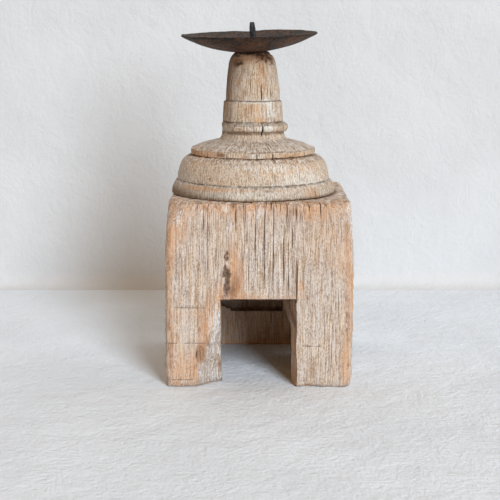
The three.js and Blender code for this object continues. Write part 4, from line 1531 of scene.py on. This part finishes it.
def dish_material(finish):
    """Hammered sheet iron: brown outside with rust, and dark scale inside"""
    board = Board("hammered_iron")
    inside, edge = board.painted("tones")[:2]
    clouds = board.noise(board.stretched(0.07, 0.16), 4, 0.65)
    mottle = board.noise(board.stretched(0.65, 1.2), 2, 0.65)
    grit = board.noise(board.stretched(1.1, 1.7), 1, 0.5)
    colour = board.mix(board.between(clouds, 0.4, 0.6), finish.iron_dark, finish.iron_brown)
    rust = board.between(board.total((mottle, 0.65), (clouds, 0.35)), 0.49, 0.56)
    colour = board.cover(colour, rust, 0.7, finish.iron_rust)
    dusty = board.math("MULTIPLY", inside, board.between(mottle, 0.35, 0.6, 0.85, 0.45))
    colour = board.mix(dusty, colour, finish.iron_dust)
    colour = board.mix(board.between(grit, 0.48, 0.55, 0, 0.88), colour, SCALE_BLACK)
    colour = board.cover(colour, edge, 0.6, SCALE_BLACK)
    roughness = board.between(mottle, 0.35, 0.65, 0.55, 0.8)
    relief = board.total((mottle, 0.7), (grit, 0.3))
    return board.surface(colour, roughness, 0.35, board.bump(relief, 1.1, 1.0), metallic=0.35)


def pricket_material(finish):
    """Dark forged bar, rubbed bright in patches"""
    board = Board("forged_bar")
    mottle = board.noise(board.stretched(0.6, 0.35), 3, 0.65)
    grit = board.noise(board.stretched(2.2, 1.4), 3, 0.7)
    colour = board.mix(board.between(mottle, 0.5, 0.68), finish.spike_iron, finish.spike_bright)
    colour = board.mix(board.between(grit, 0.56, 0.7, 0, 0.7), colour, finish.iron_brown)
    roughness = board.between(mottle, 0.35, 0.65, 0.75, 0.5)
    return board.surface(colour, roughness, 0.3, board.bump(grit, 0.15, 0.7), metallic=0.3)


def stage_material(name, tone, rough, sandy):
    """A plain pale surface, lightly trowelled"""
    board = Board(name)
    clouds = board.noise(board.stretched(0.012, 0.012), 3, 0.5)
    strokes = board.noise(board.stretched(0.05, 0.04), 5, 0.66, 0.3)
    grit = board.noise(board.stretched(0.3, 0.3), 4, 0.7)
    darker = tuple(0.95 * value for value in tone)
    colour = board.mix(board.between(clouds, 0.35, 0.65), darker, tone)
    relief = board.total((strokes, 0.8), (grit, sandy))
    return board.surface(colour, 0.9, 0.15, board.bump(relief, 4.0, rough))


def finish_piece(thing, material, node, sharp=48):
    """Shades a piece, sets what it rides on, and hides the solid that it stands for"""
    thing.data.materials.clear()
    thing.data.materials.append(material)
    thing.data.polygons.foreach_set("material_index", np.zeros(len(thing.data.polygons), np.int32))
    thing.data.polygons.foreach_set("use_smooth", np.ones(len(thing.data.polygons), bool))
    thing.data.set_sharp_from_angle(angle=math.radians(sharp))
    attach(thing, BODY)
    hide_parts(node)


class HOLDER_OT_timber(bpy.types.Operator):
    """Builds the timber stand: the hollowed block and the turned post in one piece"""

    bl_idname = "holder.timber"
    bl_label = "Timber stand"

    def execute(self, context):
        scene = context.scene
        block, hollow = lengths(scene.holder_block), lengths(scene.holder_hollow)
        post, iron = lengths(scene.holder_post), lengths(scene.holder_iron)
        stand = weathered_block(block, hollow)
        for cutter in hollow_cutters(hollow):
            combine(stand, cutter, "DIFFERENCE")
        combine(stand, turned_post(post, block.height, flat_under_dish(iron)), "UNION")
        combine(stand, tang_hole(iron), "DIFFERENCE")
        finish_piece(stand, timber_material(scene.holder_finish), "wooden_stand")
        return {"FINISHED"}


class HOLDER_OT_drip_dish(bpy.types.Operator):
    """Builds the hammered iron dish that catches the wax"""

    bl_idname = "holder.drip_dish"
    bl_label = "Drip dish"

    def execute(self, context):
        scene = context.scene
        dish = drip_dish(lengths(scene.holder_iron))
        finish_piece(dish, dish_material(scene.holder_finish), "drip_dish", 60)
        return {"FINISHED"}


class HOLDER_OT_pricket(bpy.types.Operator):
    """Builds the forged spike that holds the candle"""

    bl_idname = "holder.pricket"
    bl_label = "Pricket"

    def execute(self, context):
        scene = context.scene
        spike = pricket(lengths(scene.holder_iron))
        finish_piece(spike, pricket_material(scene.holder_finish), "pricket", 40)
        return {"FINISHED"}


# The stage, in metres

# The camera looks along +Y and down by its pitch in degrees. Its lens is in millimetres
CAMERA_PLACE = (-0.0052, -0.7435, 0.2126)
CAMERA_PITCH = 10.4
CAMERA_LENS = 82.8

# The floor and the wall: half their width, the floor's reach to the front and the back, and the wall's top
STAGE_HALF = 3.0
FLOOR_NEAR = 1.5
FLOOR_FAR = 4.0
WALL_TOP = 2.5
WALL_PLACE = 0.236

# The rounding between floor and wall: its radius, the angle that it starts at and its number of corners
COVE = 0.014
COVE_START = 0.17
COVE_CORNERS = 9

# Each light's direction in degrees, its distance and size, its power and its tone
WINDOW = SimpleNamespace(
    azimuth=23.5, elevation=26.8, distance=9, wide=2.48, tall=7.5, power=976, tone=(230, 243, 255)
)
CEILING = SimpleNamespace(
    azimuth=0, elevation=88, distance=2.0, wide=1.6, tall=1.6, power=2, tone=(255, 226, 190)
)

# The height on the object's middle line that the lights face
LIGHTS_AIM = 0.1

# The room as it lights the surfaces, and as it is seen
ROOM_TONE = (255, 192, 86)
ROOM_STRENGTH = 0.29
PALE_TONE = (226, 228, 230)


def area_light(name, light):
    """A broad light that faces the object"""
    lamp = bpy.data.lights.new(name, "AREA")
    lamp.shape = "RECTANGLE"
    lamp.size = light.wide
    lamp.size_y = light.tall
    lamp.energy = light.power
    lamp.color = paint(*light.tone)
    turn, rise = math.radians(light.azimuth), math.radians(light.elevation)
    towards = Vector((math.sin(turn) * math.cos(rise), -math.cos(turn) * math.cos(rise), math.sin(rise)))
    thing = bpy.data.objects.new(name, lamp)
    thing.location = Vector((0, 0, LIGHTS_AIM)) + towards * light.distance
    thing.rotation_euler = towards.to_track_quat("Z", "Y").to_euler()
    bpy.context.scene.collection.objects.link(thing)


def strip_object(name, half_width, profile, material):
    """A sheet of the stage: a line of places and heights, seen from the side, drawn out to both sides"""
    mesh = bpy.data.meshes.new(name)
    corners = [(x, y, z) for y, z in profile for x in (-half_width, half_width)]
    faces = [(first, first + 1, first + 3, first + 2) for first in range(0, len(corners) - 2, 2)]
    mesh.from_pydata(corners, [], faces)
    mesh.materials.append(material)
    mesh.polygons.foreach_set("use_smooth", [True] * len(mesh.polygons))
    thing = bpy.data.objects.new(name, mesh)
    bpy.context.scene.collection.objects.link(thing)


def one_sided(material):
    """Lets the wall be seen through from its back, so that the object shows from behind too"""
    tree = material.node_tree
    shown = tree.nodes["Principled BSDF"].outputs["BSDF"]
    clear = tree.nodes.new("ShaderNodeBsdfTransparent")
    side = tree.nodes.new("ShaderNodeNewGeometry")
    choose = tree.nodes.new("ShaderNodeMixShader")
    tree.links.new(side.outputs["Backfacing"], choose.inputs["Fac"])
    tree.links.new(shown, choose.inputs[1])
    tree.links.new(clear.outputs["BSDF"], choose.inputs[2])
    tree.links.new(choose.outputs["Shader"], tree.nodes["Material Output"].inputs["Surface"])


def pale_world(tree):
    """A dim warm room for the light on the surfaces, which is seen, and mirrored, as pale"""
    background = tree.nodes["Background"]
    rays = tree.nodes.new("ShaderNodeLightPath")
    shown = rays.outputs["Is Camera Ray"]
    for name in ("Is Glossy Ray", "Is Transmission Ray"):
        either = tree.nodes.new("ShaderNodeMath")
        either.operation = "MAXIMUM"
        tree.links.new(shown, either.inputs[0])
        tree.links.new(rays.outputs[name], either.inputs[1])
        shown = either.outputs["Value"]
    tone = tree.nodes.new("ShaderNodeMix")
    tone.data_type = "RGBA"
    dim = [ROOM_STRENGTH * value for value in paint(*ROOM_TONE)]
    tone.inputs[FIRST_COLOUR].default_value = (*dim, 1)
    tone.inputs[SECOND_COLOUR].default_value = (*paint(*PALE_TONE), 1)
    tree.links.new(shown, tone.inputs["Factor"])
    tree.links.new(tone.outputs[COLOUR], background.inputs["Color"])


class HOLDER_OT_stage(bpy.types.Operator):
    """Builds the pale floor and wall, the lights and the camera"""

    bl_idname = "holder.stage"
    bl_label = "Stage"

    def execute(self, context):
        scene = context.scene
        finish = scene.holder_finish
        floor_material = stage_material("pale_floor", finish.floor, rough=0.8, sandy=0.38)
        strip_object("floor", STAGE_HALF, [(-FLOOR_NEAR, 0), (FLOOR_FAR, 0)], floor_material)
        wall = []
        for turn in np.linspace(COVE_START, math.pi / 2, COVE_CORNERS):
            rise = COVE * (math.cos(COVE_START) - math.cos(turn))
            wall.append((WALL_PLACE + COVE * (math.sin(turn) - 1), rise))
        wall += [(WALL_PLACE, height) for height in (COVE + 0.03, COVE + 0.2, WALL_TOP)]
        wall_material = stage_material("pale_wall", finish.wall, rough=0.6, sandy=0.17)
        one_sided(wall_material)
        strip_object("wall", STAGE_HALF, wall, wall_material)

        area_light("window", WINDOW)
        area_light("ceiling", CEILING)
        world = bpy.data.worlds.new("pale_room")
        world.use_nodes = True
        pale_world(world.node_tree)
        scene.world = world

        lens = bpy.data.cameras.new("camera")
        lens.lens = CAMERA_LENS
        camera = bpy.data.objects.new("camera", lens)
        camera.location = CAMERA_PLACE
        camera.rotation_euler = (math.radians(90 - CAMERA_PITCH), 0, 0)
        scene.collection.objects.link(camera)
        scene.camera = camera
        scene.view_settings.view_transform = "Standard"
        return {"FINISHED"}


GROUPS = {
    "holder_block": BlockSizes,
    "holder_hollow": HollowSizes,
    "holder_post": PostSizes,
    "holder_iron": IronSizes,
    "holder_finish": Finishes,
}
OPERATORS = (HOLDER_OT_timber, HOLDER_OT_drip_dish, HOLDER_OT_pricket, HOLDER_OT_stage)


class HOLDER_PT_panel(bpy.types.Panel):
    """Lists the pieces and their sizes"""

    bl_label = "Candle holder"
    bl_idname = "HOLDER_PT_panel"
    bl_space_type = "VIEW_3D"
    bl_region_type = "UI"
    bl_category = "Candle holder"

    def draw(self, context):
        for operator in OPERATORS:
            self.layout.operator(operator.bl_idname)
        for name, group in GROUPS.items():
            box = self.layout.box()
            box.label(text=group.__doc__)
            for field in group.__annotations__:
                box.prop(getattr(context.scene, name), field)


def register():
    for kind in (*GROUPS.values(), *OPERATORS, HOLDER_PT_panel):
        bpy.utils.register_class(kind)
    for name, group in GROUPS.items():
        setattr(bpy.types.Scene, name, PointerProperty(type=group))


def unregister():
    for name in GROUPS:
        delattr(bpy.types.Scene, name)
    for kind in (HOLDER_PT_panel, *reversed(OPERATORS), *reversed(GROUPS.values())):
        bpy.utils.unregister_class(kind)


def main():
    """Builds the pieces and the stage"""
    register()
    bpy.ops.holder.timber()
    bpy.ops.holder.drip_dish()
    bpy.ops.holder.pricket()
    bpy.ops.holder.stage()


if __name__ == "__main__":
    main()
